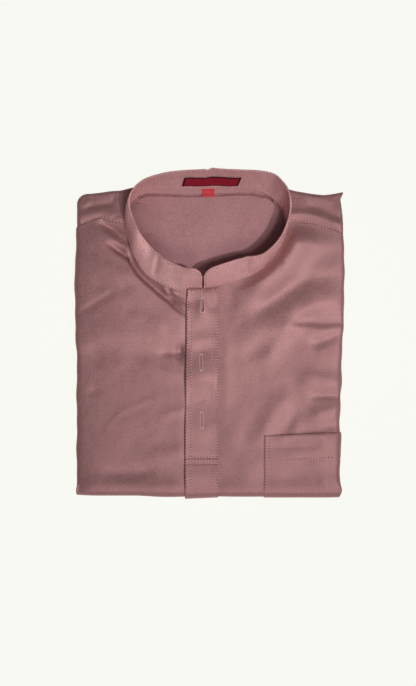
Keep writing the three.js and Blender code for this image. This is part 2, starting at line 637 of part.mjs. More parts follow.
function neckWell() {
  const columns = [DISH_LEFT - 0.8, ...DISH_COLUMNS.slice(1, -1), DISH_RIGHT + 0.8];
  const shares = steps(0, 1, 9);
  const point = (x, share, top) => {
    const span = dishSpan(x);
    const y = lerp(span.low - 0.8, 152, share);
    return new THREE.Vector3(x, y, top ? 60 : dishHeight(x, Math.min(y, span.high)) - CLOTH - LAY - 0.3);
  };
  const outer = grid(columns, shares, (x, share) => point(x, share, true));
  const inner = grid(columns, shares, (x, share) => point(x, share, false));
  return solidOf(wallGeometry(outer, inner));
}

function foldedLayers() {
  const columns = [-1, 1].map((side) => ({ side, roll: 0, top: 126 }));
  const across = [columns[0], ...steps(-120, 120, 8).map((x) => ({ x, top: 126 })), columns[1]];
  const rows = [...steps(0, 1, 8).map((share) => ({ share })), ...BEND_ROWS,
    ...steps(BEND_Y, 108, 5).map((y) => ({ under: true, y }))];
  const filler = solidOf(panelWall(across, rows, -FILL_TOP, FILL_DEPTH, false));
  const block = boxSolid([-112, BEND_Y - 2, 4.2], [112, 118, STACK - 4.2]);
  const layers = LIPS.reduce((solid, lip) => solid.add(roundedSlab(lip)), filler.add(block));
  return geometryOf(layers.subtract(neckWell()));
}

// Materials
const satin = (tint = 1) => new THREE.MeshStandardMaterial({
  color: new THREE.Color(0.36 * tint, 0.165 * tint, 0.175 * tint), roughness: 0.45, metalness: 0,
});
const labelCloth = () => new THREE.MeshStandardMaterial({ color: 0x7d1626, roughness: 0.7, metalness: 0 });
const tabCloth = () => new THREE.MeshStandardMaterial({ color: 0xd02030, roughness: 0.6, metalness: 0 });

const shirt = new THREE.Group();
function addPiece(name, geometry, material) {
  geometry.computeVertexNormals();
  const mesh = new THREE.Mesh(geometry, material);
  mesh.name = name;
  shirt.add(mesh);
}

addPiece('front', frontPanel(), satin());
addPiece('back', backPanel(), satin(0.95));
addPiece('collar', collarBand(), satin(1.05));
addPiece('placket', placketPanel(), satin(1.02));
addPiece('under_placket', underPlacket(), satin(0.9));
addPiece('pocket', pocketPanel(), satin());
addPiece('neck_label', neckLabel(), labelCloth());
addPiece('size_tab', sizeTab(), tabCloth());
addPiece('folded_layers', foldedLayers(), satin(0.85));

// The origin is on the floor, under the middle of the whole shirt
const reach = new THREE.Box3().setFromObject(shirt);
const middle = reach.getCenter(new THREE.Vector3());
shirt.position.set(-middle.x, -middle.y, -reach.min.z);

export default shirt;
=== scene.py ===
"""Folded baju melayu shirt in dusty-rose satin, lying on its back with the chest up."""
import math
import bpy
import bmesh
import numpy as np
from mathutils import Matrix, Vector, noise


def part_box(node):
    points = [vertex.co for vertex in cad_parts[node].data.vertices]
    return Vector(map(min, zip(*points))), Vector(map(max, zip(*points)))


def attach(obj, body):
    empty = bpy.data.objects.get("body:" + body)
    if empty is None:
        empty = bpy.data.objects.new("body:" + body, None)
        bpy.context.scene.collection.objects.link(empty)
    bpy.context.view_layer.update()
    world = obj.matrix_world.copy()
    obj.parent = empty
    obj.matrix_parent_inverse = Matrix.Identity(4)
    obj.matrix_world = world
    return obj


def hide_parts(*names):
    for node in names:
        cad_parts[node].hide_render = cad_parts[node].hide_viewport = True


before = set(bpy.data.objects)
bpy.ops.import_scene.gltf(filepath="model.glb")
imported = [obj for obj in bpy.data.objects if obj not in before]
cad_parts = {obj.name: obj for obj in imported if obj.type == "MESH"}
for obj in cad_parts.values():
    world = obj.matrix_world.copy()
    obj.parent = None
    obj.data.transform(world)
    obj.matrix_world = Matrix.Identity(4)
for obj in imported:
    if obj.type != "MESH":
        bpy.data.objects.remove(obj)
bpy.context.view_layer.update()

# Driving dimensions, in millimetres unless a name says otherwise
MM = 0.001
STACK = 20.5             # height of the folded shirt where the chest is flat
SLAB = 7.0               # depth of the roll where a side is turned under
ROLL = 4.5               # how far that roll swells sideways
TUCK = 12.0              # how far the turned side runs back in
BEND_Y = -154.0          # where the chest starts to turn round the bottom fold
BEND_REACH = 9.0
BEND_SHARP = 0.72        # 1 rounds the bottom fold evenly, less presses it flatter
UNDER_END = 112.0        # where the folded-up tail ends below the shoulders
CROWN = 1.8              # how much the chest is puffed up between its edges
DEEPEST = -3.5           # the chest never sinks further than this
CENTRE = -7.0            # line of the front opening
OPENING_END = -121.0
TURN_IN = 1.8            # how far the front runs in under the collar
SHOULDER_Y = 105.0       # where the side folds meet the shoulder seams
BAND = 28.0              # height of the stand collar
BAND_CORNER = 10.5       # radius of the collar's two front corners
SATIN = 0.5              # wall of one layer of satin
COLLAR_WALL = 1.5
POCKET_WALL = 0.6
UNDER_WALL = 0.4
LAYER_WALL = 0.45
LABEL_WALL = 0.5
TAB_WALL = 0.45
LAY = 0.5                # air between the collar and what it is sewn to
DISH = 12.4              # height of the back panel where it is seen inside the neck
BACK_LEVEL = 14.3        # height of the back panel under the shoulders
NECK_MIDDLE = -4.0
STITCH = 3.0             # pitch of the machine sewing
STITCH_SIZE = (1.6, 0.85, 0.5)
# size of the dark dots of painted shade at each needle hole
HOLE_SHADE_SIZE = (0.98, 0.88, 0.3)
STITCH_LIFT = 0.13       # how far the stitches stand off the cloth

# The sizes are drafted with the size tab at this place, and the frame has its origin under
# the middle of the shirt, so every point moves by the difference
TAB_LEFT, TAB_TOP = -8.0, 143.6
tab_low, tab_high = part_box("size_tab")
SHIFT = np.array([tab_low.x / MM - TAB_LEFT, tab_high.y / MM - TAB_TOP, 0.0])


def table(columns, rows):
    """Rows with named columns."""
    return [dict(zip(columns.split(), row)) for row in rows]


# Side folds of the chest: how far out they lie at each height on the chest
SIDE_FOLDS = table("y left right", (
    (-165, -133.4, 129.0), (-130, -133.3, 129.4), (-100, -133.4, 129.6), (-60, -133.4, 130.8),
    (-20, -133.6, 132.2), (0, -134.4, 133.0), (20, -135.2, 134.2), (60, -135.2, 134.4),
    (84, -134.4, 134.6), (110, -133.4, 133.4), (145, -133.0, 132.6),
))

# Shoulder seams, from the side fold to the neck
LEFT_SEAM = table("x y", (
    (-133.6, 106.6), (-117, 113.4), (-108, 115.6), (-100, 112.2), (-94, 110.9), (-88, 110.4), (-80, 110.3),
))
RIGHT_SEAM = table("x y", (
    (72, 110.8), (88, 111.0), (101, 110.0), (111, 107.7), (121, 104.7), (133.8, 99.2),
))

# Collar, from the wearer's right front end round the back to the other end.
# x and y are on the neck seam, lean_x and lean_y say how far the full band leans from there.
COLLAR = table("x y lean_x lean_y", (
    (-7.7, 46.4, 0.0, 16.0), (-10, 46.4, 0.3, 16.4), (-15, 46.2, 1.2, 17.4),
    (-21.5, 45.8, 1.8, 18.4), (-29, 43.6, 2.6, 22.0), (-41.9, 46.6, 3.8, 24.0),
    (-54, 52.4, 5.4, 24.5), (-64.4, 59.7, 6.8, 25.2), (-72.2, 70.5, 6.2, 24.2),
    (-77.6, 82.5, 5.2, 22.4), (-81.4, 95.5, 4.4, 21.0), (-84.1, 108.3, 4.4, 20.1),
    (-84.4, 119, 6.6, 19.4), (-80.6, 128.5, 8.7, 18.2), (-73, 137, 9.3, 15.6),
    (-63.4, 142, 9.8, 14.3), (-48.5, 144.4, 8.8, 15.6), (-32.6, 144.9, 7.6, 16.5),
    (-17, 145.2, 6.8, 16.8), (-1.5, 145.5, 5.6, 17.4), (13.3, 145.7, 5.8, 16.2),
    (28.1, 145.7, 6.0, 15.6), (43, 144.2, 6.6, 16.6), (56.4, 139.5, 7.0, 18.4),
    (65, 133.5, 6.4, 17.4), (72.3, 126.2, 5.3, 16.1), (75.5, 116.5, 4.0, 15.6),
    (76.3, 105.8, 2.8, 15.6), (73, 94, 2.8, 14.8), (66.9, 82.8, 3.6, 14.4),
    (59, 73, 3.5, 13.8), (50.3, 63.8, 2.8, 15.2), (39.5, 58, 1.6, 17.4),
    (27.2, 53.4, 1.0, 19.4), (16.5, 50.4, 0.8, 19.4), (8.9, 48.5, 0.6, 18.8),
    (1.5, 47.0, 0.4, 17.8), (-3.6, 46.5, 0.2, 16.6), (-6.2, 46.4, 0.0, 16.0),
))
LEFT_NECK, RIGHT_NECK = COLLAR[:12], COLLAR[27:]
BACK_FIRST, BACK_LAST = 14, 24           # these collar stations are sewn to the back panel
BACK_NECK = COLLAR[BACK_FIRST:BACK_LAST + 1]

# Creases of the chest: the line that each follows, its width to the left and
# right of that line, and its rise, which is negative in a trough
CREASE = "path left right rise"
CHEST_CREASES = table(CREASE, (
    # round the collar on the wearer's right
    ([(-106, 93), (-98, 87), (-90, 81), (-84, 77), (-78, 71), (-74, 63), (-66, 54), (-58, 47),
      (-50, 40), (-40, 32), (-30, 23), (-16, 12)], 6.0, 2.0, -5.2),
    ([(-112, 124), (-106, 116), (-100, 108), (-93, 101), (-86, 95), (-80, 91), (-72, 84)], 4.6, 6.6, -3.7),
    ([(-108, 106), (-102, 100), (-96, 93), (-90, 88), (-84, 82), (-77, 75)], 4.2, 3.6, 1.0),
    ([(-48, 48), (-44, 42), (-41, 37)], 1.8, 1.8, 1.2),
    ([(-39, 46), (-36, 41), (-33, 37)], 1.8, 1.8, 1.2),
    ([(-42, 39), (-33, 35), (-24, 31), (-16, 28)], 1.8, 1.8, -1.6),
    ([(-38, 31), (-28, 26), (-18, 19)], 2.4, 2.4, 1.2),
    # wearer's right chest
    ([(-136, 17), (-122, 26), (-113, 31.5), (-102, 38), (-92, 42)], 3.0, 5.0, -0.65),
    ([(-124, 74), (-104, 66), (-88, 60), (-66, 56)], 7.0, 8.0, 0.8),
    ([(-124, 54), (-96, 46), (-72, 44)], 8.0, 7.0, -0.7),
    ([(-86, 20), (-72, 17), (-54, 10), (-40, 6)], 6.0, 7.0, 0.7),
    ([(-144, 1), (-110, 1), (-70, 1), (-30, 2), (-10, 2)], 24.0, 12.0, 1.9),
    ([(-146, -21), (-100, -20), (-70, -21.5), (-30, -19), (-4, -17)], 14.0, 16.0, -0.7),
    ([(-146, -21), (-122, -19.5), (-108, -19), (-88, -19)], 7.0, 14.0, -1.2),
    ([(-56, -20), (-38, -18.5), (-24, -18), (-8, -16)], 6.0, 5.0, -1.4),
    ([(-74, -34), (-60, -32), (-44, -40), (-20, -42)], 6.0, 8.0, 0.7),
    ([(-108, -104), (-98, -88), (-86, -77), (-70, -70), (-46, -60)], 3.2, 3.0, 0.22),
    ([(-50, -82), (-38, -79), (-26, -77), (-14, -77)], 4.6, 5.0, 0.6),
    ([(-72, -125), (-52, -122), (-36, -120), (-14, -118)], 9.0, 7.0, 1.0),
    ([(-136, -152), (-104, -152.5), (-60, -153.5), (-10, -154)], 10.0, 5.4, 2.3),
    ([(-112, -138), (-90, -139), (-70, -138), (-50, -136)], 6.0, 8.0, -0.9),
    ([(-128, -62), (-116, -58), (-104, -58)], 7.0, 6.0, -0.7),
    # wearer's left chest, beside the collar and down to the side
    ([(93, 132), (91, 116), (88, 101), (83, 87), (75, 74), (64, 62), (50, 51), (36, 43), (20, 38)],
     17.0, 6.2, 6.2),
    ([(146, 90), (128, 82), (112, 76), (100, 67), (88, 55), (74, 44), (58, 32), (42, 24)], 12.0, 10.0, -1.0),
    ([(144, 54), (118, 55), (98, 53), (82, 45), (67, 35), (52, 24), (38, 12)], 12.0, 8.0, -1.4),
    ([(160, 33), (124, 34), (106, 32), (92, 25), (80, 15), (68, 7), (52, 1), (36, -4), (20, -12)],
     11.0, 20.0, 3.2),
    ([(88, 16), (78, 4), (69, -8), (60, -20), (48, -34)], 9.0, 8.0, 1.3),
    ([(156, 11), (134, 11), (118, 11), (100, 12), (88, 12), (78, 7)], 5.0, 8.0, -1.0),
    ([(156, 4), (134, 4), (116, 3.4), (100, 5), (86, 5), (74, 1)], 10.0, 5.0, 0.8),
    ([(148, 6), (132, 1), (120, -4), (108, -9), (98, -14)], 6.0, 5.0, -1.3),
    ([(50, 14), (42, 6), (34, -2), (24, -12), (14, -24)], 10.0, 9.0, 0.5),
    ([(60, 8), (52, -4), (44, -16), (34, -30)], 8.0, 7.0, -0.6),
    ([(38, 46), (31, 32), (27, 16), (25, -6)], 15.0, 8.0, 1.0),
    ([(156, -50), (134, -49), (114, -48), (98, -47), (82, -52)], 9.0, 10.5, 1.9),
    ([(158, -74), (138, -75), (122, -77), (106, -82), (92, -90)], 10.0, 7.5, 1.8),
    ([(142, -63), (126, -62), (112, -62), (96, -64)], 4.0, 5.0, -1.0),
    ([(134, -88), (116, -94), (100, -97), (84, -98)], 6.0, 6.0, -0.8),
    ([(84, -52), (74, -65), (65, -79), (57, -92), (49, -106), (42, -118)], 10.0, 11.0, 1.7),
    ([(90, -72), (82, -83), (75, -96), (70, -106)], 6.0, 7.0, -0.8),
    ([(38, -72), (30, -90), (22, -106), (16, -120)], 9.0, 10.0, 0.7),
    ([(50, -116), (42, -132), (34, -150), (30, -166)], 12.0, 14.0, 1.2),
    ([(2, -153), (40, -154), (80, -154), (150, -154)], 8.0, 3.2, 0.8),
    ([(16, 30), (16, -20), (16, -60), (16, -90)], 6.0, 4.0, 0.25),
))

# Broad swells of the chest: centre, half sizes, turn in degrees and rise
SWELL = "x y long wide turn rise"
CHEST_SWELLS = table(SWELL, (
    (-88, 50, 46, 32, -40, 2.6), (-60, -90, 60, 34, 10, 0.7), (-74, 16, 18, 12, -20, -0.5),
    (120, -108, 16, 14, 0, 1.5), (104, 66, 26, 14, 30, 0.6), (60, -128, 40, 20, 0, 0.5),
    (-112, -130, 22, 26, 0, 0.5), (118, -24, 18, 14, 0, 0.6), (-30, -19, 4, 8, 0, -2.2),
))
PLACKET_CREASES = table(CREASE, (
    ([(-46, 41), (-10, 40), (26, 40)], 5.0, 6.0, 0.4),
    ([(-40, 33), (-16, 34), (6, 33)], 5.0, 7.0, -0.7),
    ([(-14, 25), (4, 26), (28, 27)], 6.0, 5.0, -0.5),
    ([(-44, 19), (-8, 20), (30, 19)], 8.0, 10.0, 0.65),
    ([(-46, -10), (-8, -8), (30, -10)], 8.0, 7.0, 0.85),
    ([(-18, -16), (0, -13), (26, -11)], 6.0, 8.0, -0.7),
    ([(-46, -43), (-8, -44), (34, -46)], 20.0, 10.5, 4.1),
    ([(-30, -66), (-12, -68), (10, -67)], 6.0, 5.0, -0.4),
    ([(-44, -71), (-8, -73), (30, -75)], 7.0, 9.0, -0.9),
    ([(-46, -97), (-8, -96), (30, -94)], 10.0, 12.0, 0.9),
    ([(-42, -118), (-8, -118), (28, -119)], 5.0, 4.0, 0.3),
    ([(-42, -126.8), (-8, -126.9), (28, -127)], 1.6, 1.6, 0.35),
    ([(-42, -123.8), (-8, -123.9), (28, -124)], 1.3, 1.1, -0.7),
    ([(-42, -129.4), (-8, -129.5), (28, -129.6)], 1.3, 1.1, -0.7),
    ([(-46, -142), (-8, -143), (30, -143)], 9.0, 9.0, 1.3),
))
PLACKET_SWELLS = table(SWELL, (
    (-7, 27, 9, 6, 90, 1.6), (2, 39, 8, 6, 0, 0.5), (-17, 8, 10, 7, 30, 0.4),
))
POCKET_CREASES = table(CREASE, (
    ([(50, -106), (66, -108), (80, -106)], 4.0, 5.0, 0.4),
    ([(60, -118), (84, -119), (104, -118), (128, -116)], 9.0, 6.0, 0.6),
    ([(46, -113), (80, -114.5), (114, -113)], 1.8, 1.4, -0.14),
    ([(96, -128), (112, -129), (128, -126)], 4.0, 6.0, 0.6),
    ([(104, -150), (118, -146), (132, -142)], 10.0, 8.0, 0.9),
    ([(66, -140), (84, -140), (104, -142)], 6.0, 10.0, -0.6),
))
SHOULDER_CREASES = table(CREASE, (
    ([(-146, 110), (-132, 116), (-118, 120.5), (-108, 123), (-99, 119), (-91, 114), (-82, 108)],
     4.8, 5.0, 0.9),
    ([(-146, 118), (-130, 124), (-116, 127), (-102, 130), (-94, 131)], 3.4, 4.0, -0.8),
    ([(-136, 118), (-126, 128), (-118, 136)], 2.4, 3.0, 0.4),
    ([(-98, 128), (-96, 138), (-97, 146)], 1.8, 3.0, -0.5),
    ([(-100, 113), (-94, 117), (-88, 117)], 1.4, 1.4, -0.5),
    ([(64, 118), (80, 120), (94, 120), (108, 117), (122, 111.5), (146, 102)], 3.2, 4.2, 1.4),
    ([(94, 129), (110, 125), (126, 118), (146, 108)], 3.6, 3.0, -0.8),
    ([(90, 138), (108, 136), (126, 130)], 4.0, 4.0, 0.6),
))


def smoothstep(low, high, value):
    share = np.clip((value - low) / (high - low), 0.0, 1.0)
    return share * share * (3.0 - 2.0 * share)


def lerp(low, high, share):
    return low + (high - low) * share


def look_up(rows, key, at, column):
    """Read a column of a table at a place between its rows."""
    ordered = sorted(rows, key=lambda row: row[key])
    return np.interp(at, [row[key] for row in ordered], [row[column] for row in ordered])


def smooth_path(points, count):
    """A smooth curve through the points, evenly sampled."""
    knots = np.asarray(points, float)
    ends = np.vstack([2 * knots[0] - knots[1], knots, 2 * knots[-1] - knots[-2]])
    spans = len(knots) - 1
    place = np.linspace(0, spans, count)
    span = np.minimum(place.astype(int), spans - 1)
    t = (place - span)[:, None]
    before, start, stop, after = (ends[span + k] for k in range(4))
    return 0.5 * (2 * start + (stop - before) * t
                  + (2 * before - 5 * start + 4 * stop - after) * t ** 2
                  + (3 * start - before - 3 * stop + after) * t ** 3)


def crease_rise(crease, x, y):
    """Rise of one crease at the points, dying away at both ends."""
    path = smooth_path(crease["path"], 6 * len(crease["path"]))
    start = path[:-1]
    step = np.diff(path, axis=0)
    length = np.hypot(step[:, 0], step[:, 1])
    dx = np.asarray(x)[..., None] - start[:, 0]
    dy = np.asarray(y)[..., None] - start[:, 1]
    share = np.clip((dx * step[:, 0] + dy * step[:, 1]) / length ** 2, 0, 1)
    away = np.hypot(dx - share * step[:, 0], dy - share * step[:, 1])
    nearest = np.argmin(away, axis=-1)[..., None]
    pick = lambda values: np.take_along_axis(values, nearest, -1)[..., 0]
    side = pick(step[:, 0] * dy - step[:, 1] * dx)
    along = (nearest[..., 0] + pick(share)) / len(step)
    width = np.where(side > 0, crease["left"], crease["right"])
    fade = min(0.5, max(0.2, 2.2 * max(crease["left"], crease["right"]) / length.sum()))
    ends = smoothstep(0, fade, along) * (1 - smoothstep(1 - fade, 1, along))
    return crease["rise"] * ends * np.exp(-(pick(away) / width) ** 2)


def creases(rows, x, y):
    return sum(crease_rise(crease, x, y) for crease in rows)


def swells(rows, x, y):
    total = 0.0
    for swell in rows:
        turn = math.radians(swell["turn"])
        dx, dy = x - swell["x"], y - swell["y"]
        along = (dx * math.cos(turn) + dy * math.sin(turn)) / swell["long"]
        across = (dy * math.cos(turn) - dx * math.sin(turn)) / swell["wide"]
        total = total + swell["rise"] * np.exp(-along ** 2 - across ** 2)
    return total


def walk(points):
    """How far along a path each of its points lies."""
    return np.concatenate([[0], np.cumsum(np.linalg.norm(np.diff(points, axis=0), axis=1))])


def read_path(points, walked, places):
    """Points of a path at the given distances along it."""
    return np.stack([np.interp(places, walked, column) for column in points.T], axis=-1)


def xyz(x, y, z):
    return np.stack([x, y, z], axis=-1)


def unit(vectors):
    return vectors / np.linalg.norm(vectors, axis=-1, keepdims=True)


def shares(count):
    """Equal steps from just after 0 up to 1."""
    return np.linspace(0, 1, count + 1)[1:]


def ripple(x, y, size, seed):
    """Soft unevenness of cloth, about one unit high, with waves about size long."""
    x, y = np.broadcast_arrays(x, y)
    places = zip(x.ravel() / size, y.ravel() / size)
    return np.reshape([noise.noise(Vector((a, b, seed))) for a, b in places], x.shape)


# Shapes of the chest
CORNER_Y, CORNER_TALL = -157, 4.5
CORNER_OUT = {-1: 0.9, 1: 1.7}           # how far the bottom corners stick out at either side


def fold_edge(side, y):
    """How far out a side fold lies, slightly uneven as pressed by hand."""
    y = np.asarray(y)
    edge = look_up(SIDE_FOLDS, "y", y, "left" if side < 0 else "right")
    corner = side * CORNER_OUT[side] * np.exp(-((y - CORNER_Y) / CORNER_TALL) ** 2)
    return edge + corner + 0.35 * np.sin(y / 9.0 + side) + 0.25 * np.sin(y / 4.3)


def two_sided(left, right, x):
    """Read y from the table of the side that x is on."""
    return np.where(np.asarray(x) < CENTRE, look_up(left, "x", x, "y"), look_up(right, "x", x, "y"))


def neck_seam(x):
    return two_sided(LEFT_NECK, RIGHT_NECK, x)


def shoulder_seam(x):
    return two_sided(LEFT_SEAM, RIGHT_SEAM, x)


def front_top(x):
    """Upper edge of the front panel: in under the collar, or up to the shoulder seam."""
    shoulder = shoulder_seam(x) - 0.35
    inside = (x > LEFT_NECK[-1]["x"] + TURN_IN) & (x < RIGHT_NECK[0]["x"] - TURN_IN)
    outward = np.where(x < CENTRE, -TURN_IN, TURN_IN)
    return float(np.where(inside, np.minimum(shoulder, neck_seam(x + outward) + TURN_IN * 0.7), shoulder))


def chest_lift(x, y):
    """Lift of the chest above its flat level: the crown, the creases and a soft ripple."""
    left, right = (look_up(SIDE_FOLDS, "y", y, side) for side in ("left", "right"))
    inward = np.abs(np.where(x < 0, left, right) - x)
    below_seam = shoulder_seam(x) - y
    from_slit = np.abs(x - CENTRE)
    crown = CROWN * (0.8 + 0.2 * smoothstep(9, 20, from_slit))
    crown = crown * (1 - np.exp(-np.maximum(inward - 1.5, 0) / 8.0)) * smoothstep(0, 22, below_seam)
    crown = crown * (0.25 + 0.75 * smoothstep(0, 36, y - BEND_Y))
    worked = creases(CHEST_CREASES, x, y) + swells(CHEST_SWELLS, x, y)
    worked = worked * smoothstep(11, 24, from_slit) * smoothstep(-3, ROLL + 2.0, inward)
    worked = worked * smoothstep(0, np.where(x < 0, 8.0, 22.0), below_seam)
    uneven = 0.35 * ripple(x, y, 26, 3.1) + 0.12 * ripple(x, y, 9, 7.7)
    uneven = uneven * smoothstep(0, 12, inward) * smoothstep(0, 14, below_seam)
    return np.maximum(crown + worked + uneven, DEEPEST)


# Rows of the front panel run down the chest, round the bottom fold and back up below
CHEST_ROW, BEND_ROW, UNDER_ROW = 0, 1, 2


def bend_reach(x):
    """The bottom fold hangs a little lower on the wearer's left."""
    return float(BEND_REACH - 0.8 + 1.5 * smoothstep(-76, -44, x))


def signed_power(value, power):
    return np.sign(value) * np.abs(value) ** power


def spine(rows, top, reach):
    """Place and outward direction of each row: arrays y, z, out_y, out_z."""
    kind, value = rows
    chest, bend = kind == CHEST_ROW, kind == BEND_ROW
    half = STACK / 2
    angle = np.where(bend, value, 0) * math.pi
    sine, cosine = np.sin(angle), np.cos(angle)
    bent_y = BEND_Y - reach * sine ** BEND_SHARP
    bent_z = half * (1 + signed_power(cosine, BEND_SHARP))
    y = np.where(chest, lerp(top, BEND_Y, value), np.where(bend, bent_y, value))
    z = np.where(chest, STACK, np.where(bend, bent_z, 0.0))
    out_y = np.where(bend, -sine ** (2 - BEND_SHARP) / reach, 0.0)
    bent_out = signed_power(cosine, 2 - BEND_SHARP) / half
    out_z = np.where(bend, bent_out, np.where(chest, 1.0, -1.0))
    size = np.hypot(out_y, out_z)
    return y, z, out_y / size, out_z / size


def panel_rows(chest, bend, under, turn=1.0):
    """Rows as two arrays: what each lies on, and where."""
    kinds = [CHEST_ROW] * chest + [BEND_ROW] * bend + [UNDER_ROW] * under
    turns = np.linspace(0, turn, bend + (2 if under else 1))[1:bend + 1]
    unders = np.linspace(BEND_Y, UNDER_END, max(under, 1))[:under]
    return np.array(kinds), np.concatenate([np.linspace(0, 1, chest), turns, unders])


def row_lift(x, y, rows):
    """Lift of the chest at each row, dying away round the bottom fold."""
    kind, turn = rows
    round_fold = np.where(kind == BEND_ROW, 1 - smoothstep(0, 0.6, turn), 0.0)
    return chest_lift(x, np.maximum(y, BEND_Y)) * np.where(kind == CHEST_ROW, 1.0, round_fold)


def panel_column(column, rows, out=0.0):
    """Points of one column of the front panel, moved off the cloth by out."""
    side = column.get("side", 0)
    place = np.ravel(column.get("x", side * 130.0))[0]
    y, z, out_y, out_z = spine(rows, column["top"], bend_reach(place))
    bend = smoothstep(10, -4, y - BEND_Y) * (rows[0] != UNDER_ROW)
    swell = ROLL * (1 - 0.85 * bend)
    if "roll" in column:
        angle = column["roll"] * math.pi
        slab = SLAB * (1 - 0.6 * bend) / 2
        edge = fold_edge(side, y)
        lift = row_lift(edge - side * ROLL, y, rows) * max(1 - 1.6 * column["roll"], 0.0)
        x = edge - side * (swell - (swell + out) * math.sin(angle) + column.get("tuck", 0.0))
        x = x + side * lift * math.sin(angle)
        depth = slab - (slab + out + lift) * math.cos(angle)
    else:
        x = np.broadcast_to(column["x"], y.shape).astype(float)
        if side:
            x = lerp(x, fold_edge(side, y) - side * swell, column["blend"])
        depth = -out - row_lift(x, y, rows)
    return xyz(x, y - depth * out_y, z - depth * out_z)


def side_columns(side, start, blends, rolls, tucks):
    """Columns from a flat place out to the side fold, round it and back in."""
    columns = [{"side": side, "x": start, "blend": share} for share in shares(blends)]
    columns += [{"side": side, "roll": share} for share in shares(rolls)]
    columns += [{"side": side, "roll": 1.0, "tuck": TUCK * share} for share in shares(tucks)]
    edge = fold_edge(side, SHOULDER_Y)
    for column in columns:
        if "roll" in column:
            inward = ROLL * (1 - math.sin(column["roll"] * math.pi)) + column.get("tuck", 0.0)
            x = edge - side * inward
        else:
            x = lerp(start, edge - side * ROLL, column["blend"])
        column["top"] = front_top(x)
    return columns


# Meshes
def select_only(piece):
    bpy.ops.object.select_all(action="DESELECT")
    piece.select_set(True)
    bpy.context.view_layer.objects.active = piece


def named(piece, name):
    piece.name = name
    piece.data.name = name
    return piece


def vertex_places(mesh):
    flat = np.empty(len(mesh.vertices) * 3)
    mesh.vertices.foreach_get("co", flat)
    return flat.reshape(-1, 3)


def cloth_from_grid(name, points):
    """A flat grid primitive shaped into cloth: points[row, column] in millimetres, outer side up."""
    rows, columns = points.shape[:2]
    bpy.ops.object.select_all(action="DESELECT")
    bpy.ops.mesh.primitive_grid_add(x_subdivisions=columns - 1, y_subdivisions=rows - 1, size=1)
    piece = named(bpy.context.active_object, name)
    flat = vertex_places(piece.data)
    across = np.rint((flat[:, 0] + 0.5) * (columns - 1)).astype(int)
    down = np.rint((0.5 - flat[:, 1]) * (rows - 1)).astype(int)
    placed = (points[down, across] + SHIFT) * MM
    piece.data.vertices.foreach_set("co", placed.ravel())
    lay_uv(piece, points)
    piece.data.update()
    return piece


def lay_uv(piece, points):
    """UV map in metres along the threads of the cloth."""
    across = np.hypot.reduce(np.diff(points, axis=1), axis=2).mean(axis=0)
    down = np.hypot.reduce(np.diff(points, axis=0), axis=2).mean(axis=1)
    u_of, v_of = (np.concatenate([[0], np.cumsum(steps)]) * MM for steps in (across, down))
    layer = piece.data.uv_layers.active.data
    uv = np.empty(len(layer) * 2)
    layer.foreach_get("uv", uv)
    uv = uv.reshape(-1, 2)
    u = u_of[np.rint(uv[:, 0] * (len(u_of) - 1)).astype(int)]
    v = v_of[np.rint((1 - uv[:, 1]) * (len(v_of) - 1)).astype(int)]
    layer.foreach_set("uv", np.stack([u, v], axis=1).ravel())


def thicken(piece, thickness, offset=-1.0, edge=0.0):
    """Give a sheet its wall, and round the wall's edges a little."""
    select_only(piece)
    wall = piece.modifiers.new("wall", "SOLIDIFY")
    wall.thickness = thickness * MM
    wall.offset = offset
    bpy.ops.object.modifier_apply(modifier="wall")
    if edge:
        bevel = piece.modifiers.new("edge", "BEVEL")
        bevel.width = edge * MM
        bevel.segments = 2
        bevel.limit_method = "ANGLE"
        bevel.angle_limit = math.radians(60)
        bpy.ops.object.modifier_apply(modifier="edge")
    bpy.ops.object.shade_smooth_by_angle(angle=math.radians(48))
    return piece


def join(name, pieces):
    select_only(pieces[0])
    for piece in pieces:
        piece.select_set(True)
    bpy.ops.object.join()
    return named(pieces[0], name)


# Front panel
FRONT_LEFT, FRONT_RIGHT = -119.0, 115.0  # the panel is flat between these
SLIT = (CENTRE - 0.5, CENTRE + 0.5)
SIDE_STEPS = (7, 9, 2)                   # columns out to a side fold, round it and back in


def front_panel():
    columns = side_columns(-1, FRONT_LEFT, *SIDE_STEPS)[::-1]
    for start, stop in ((FRONT_LEFT, SLIT[0]), (SLIT[1], FRONT_RIGHT)):
        columns += [{"x": float(x), "top": front_top(x)} for x in np.linspace(start, stop, 80)]
    columns += side_columns(1, FRONT_RIGHT, *SIDE_STEPS)
    rows = panel_rows(196, 14, 14)
    piece = cloth_from_grid("front", np.stack([panel_column(column, rows) for column in columns], axis=1))
    cut_slit(piece)
    return thicken(piece, SATIN)


def cut_slit(piece):
    """Open the front from the neck to the end of the placket opening."""
    mesh = bmesh.new()
    mesh.from_mesh(piece.data)
    low, high = ((place + SHIFT[0]) * MM for place in SLIT)
    end = (OPENING_END + SHIFT[1]) * MM
    inside = []
    for face in mesh.faces:
        middle = face.calc_center_median()
        if low < middle.x < high and middle.y > end and middle.z > STACK / 2 * MM:
            inside.append(face)
    bmesh.ops.delete(mesh, geom=inside, context="FACES")
    mesh.to_mesh(piece.data)
    mesh.free()


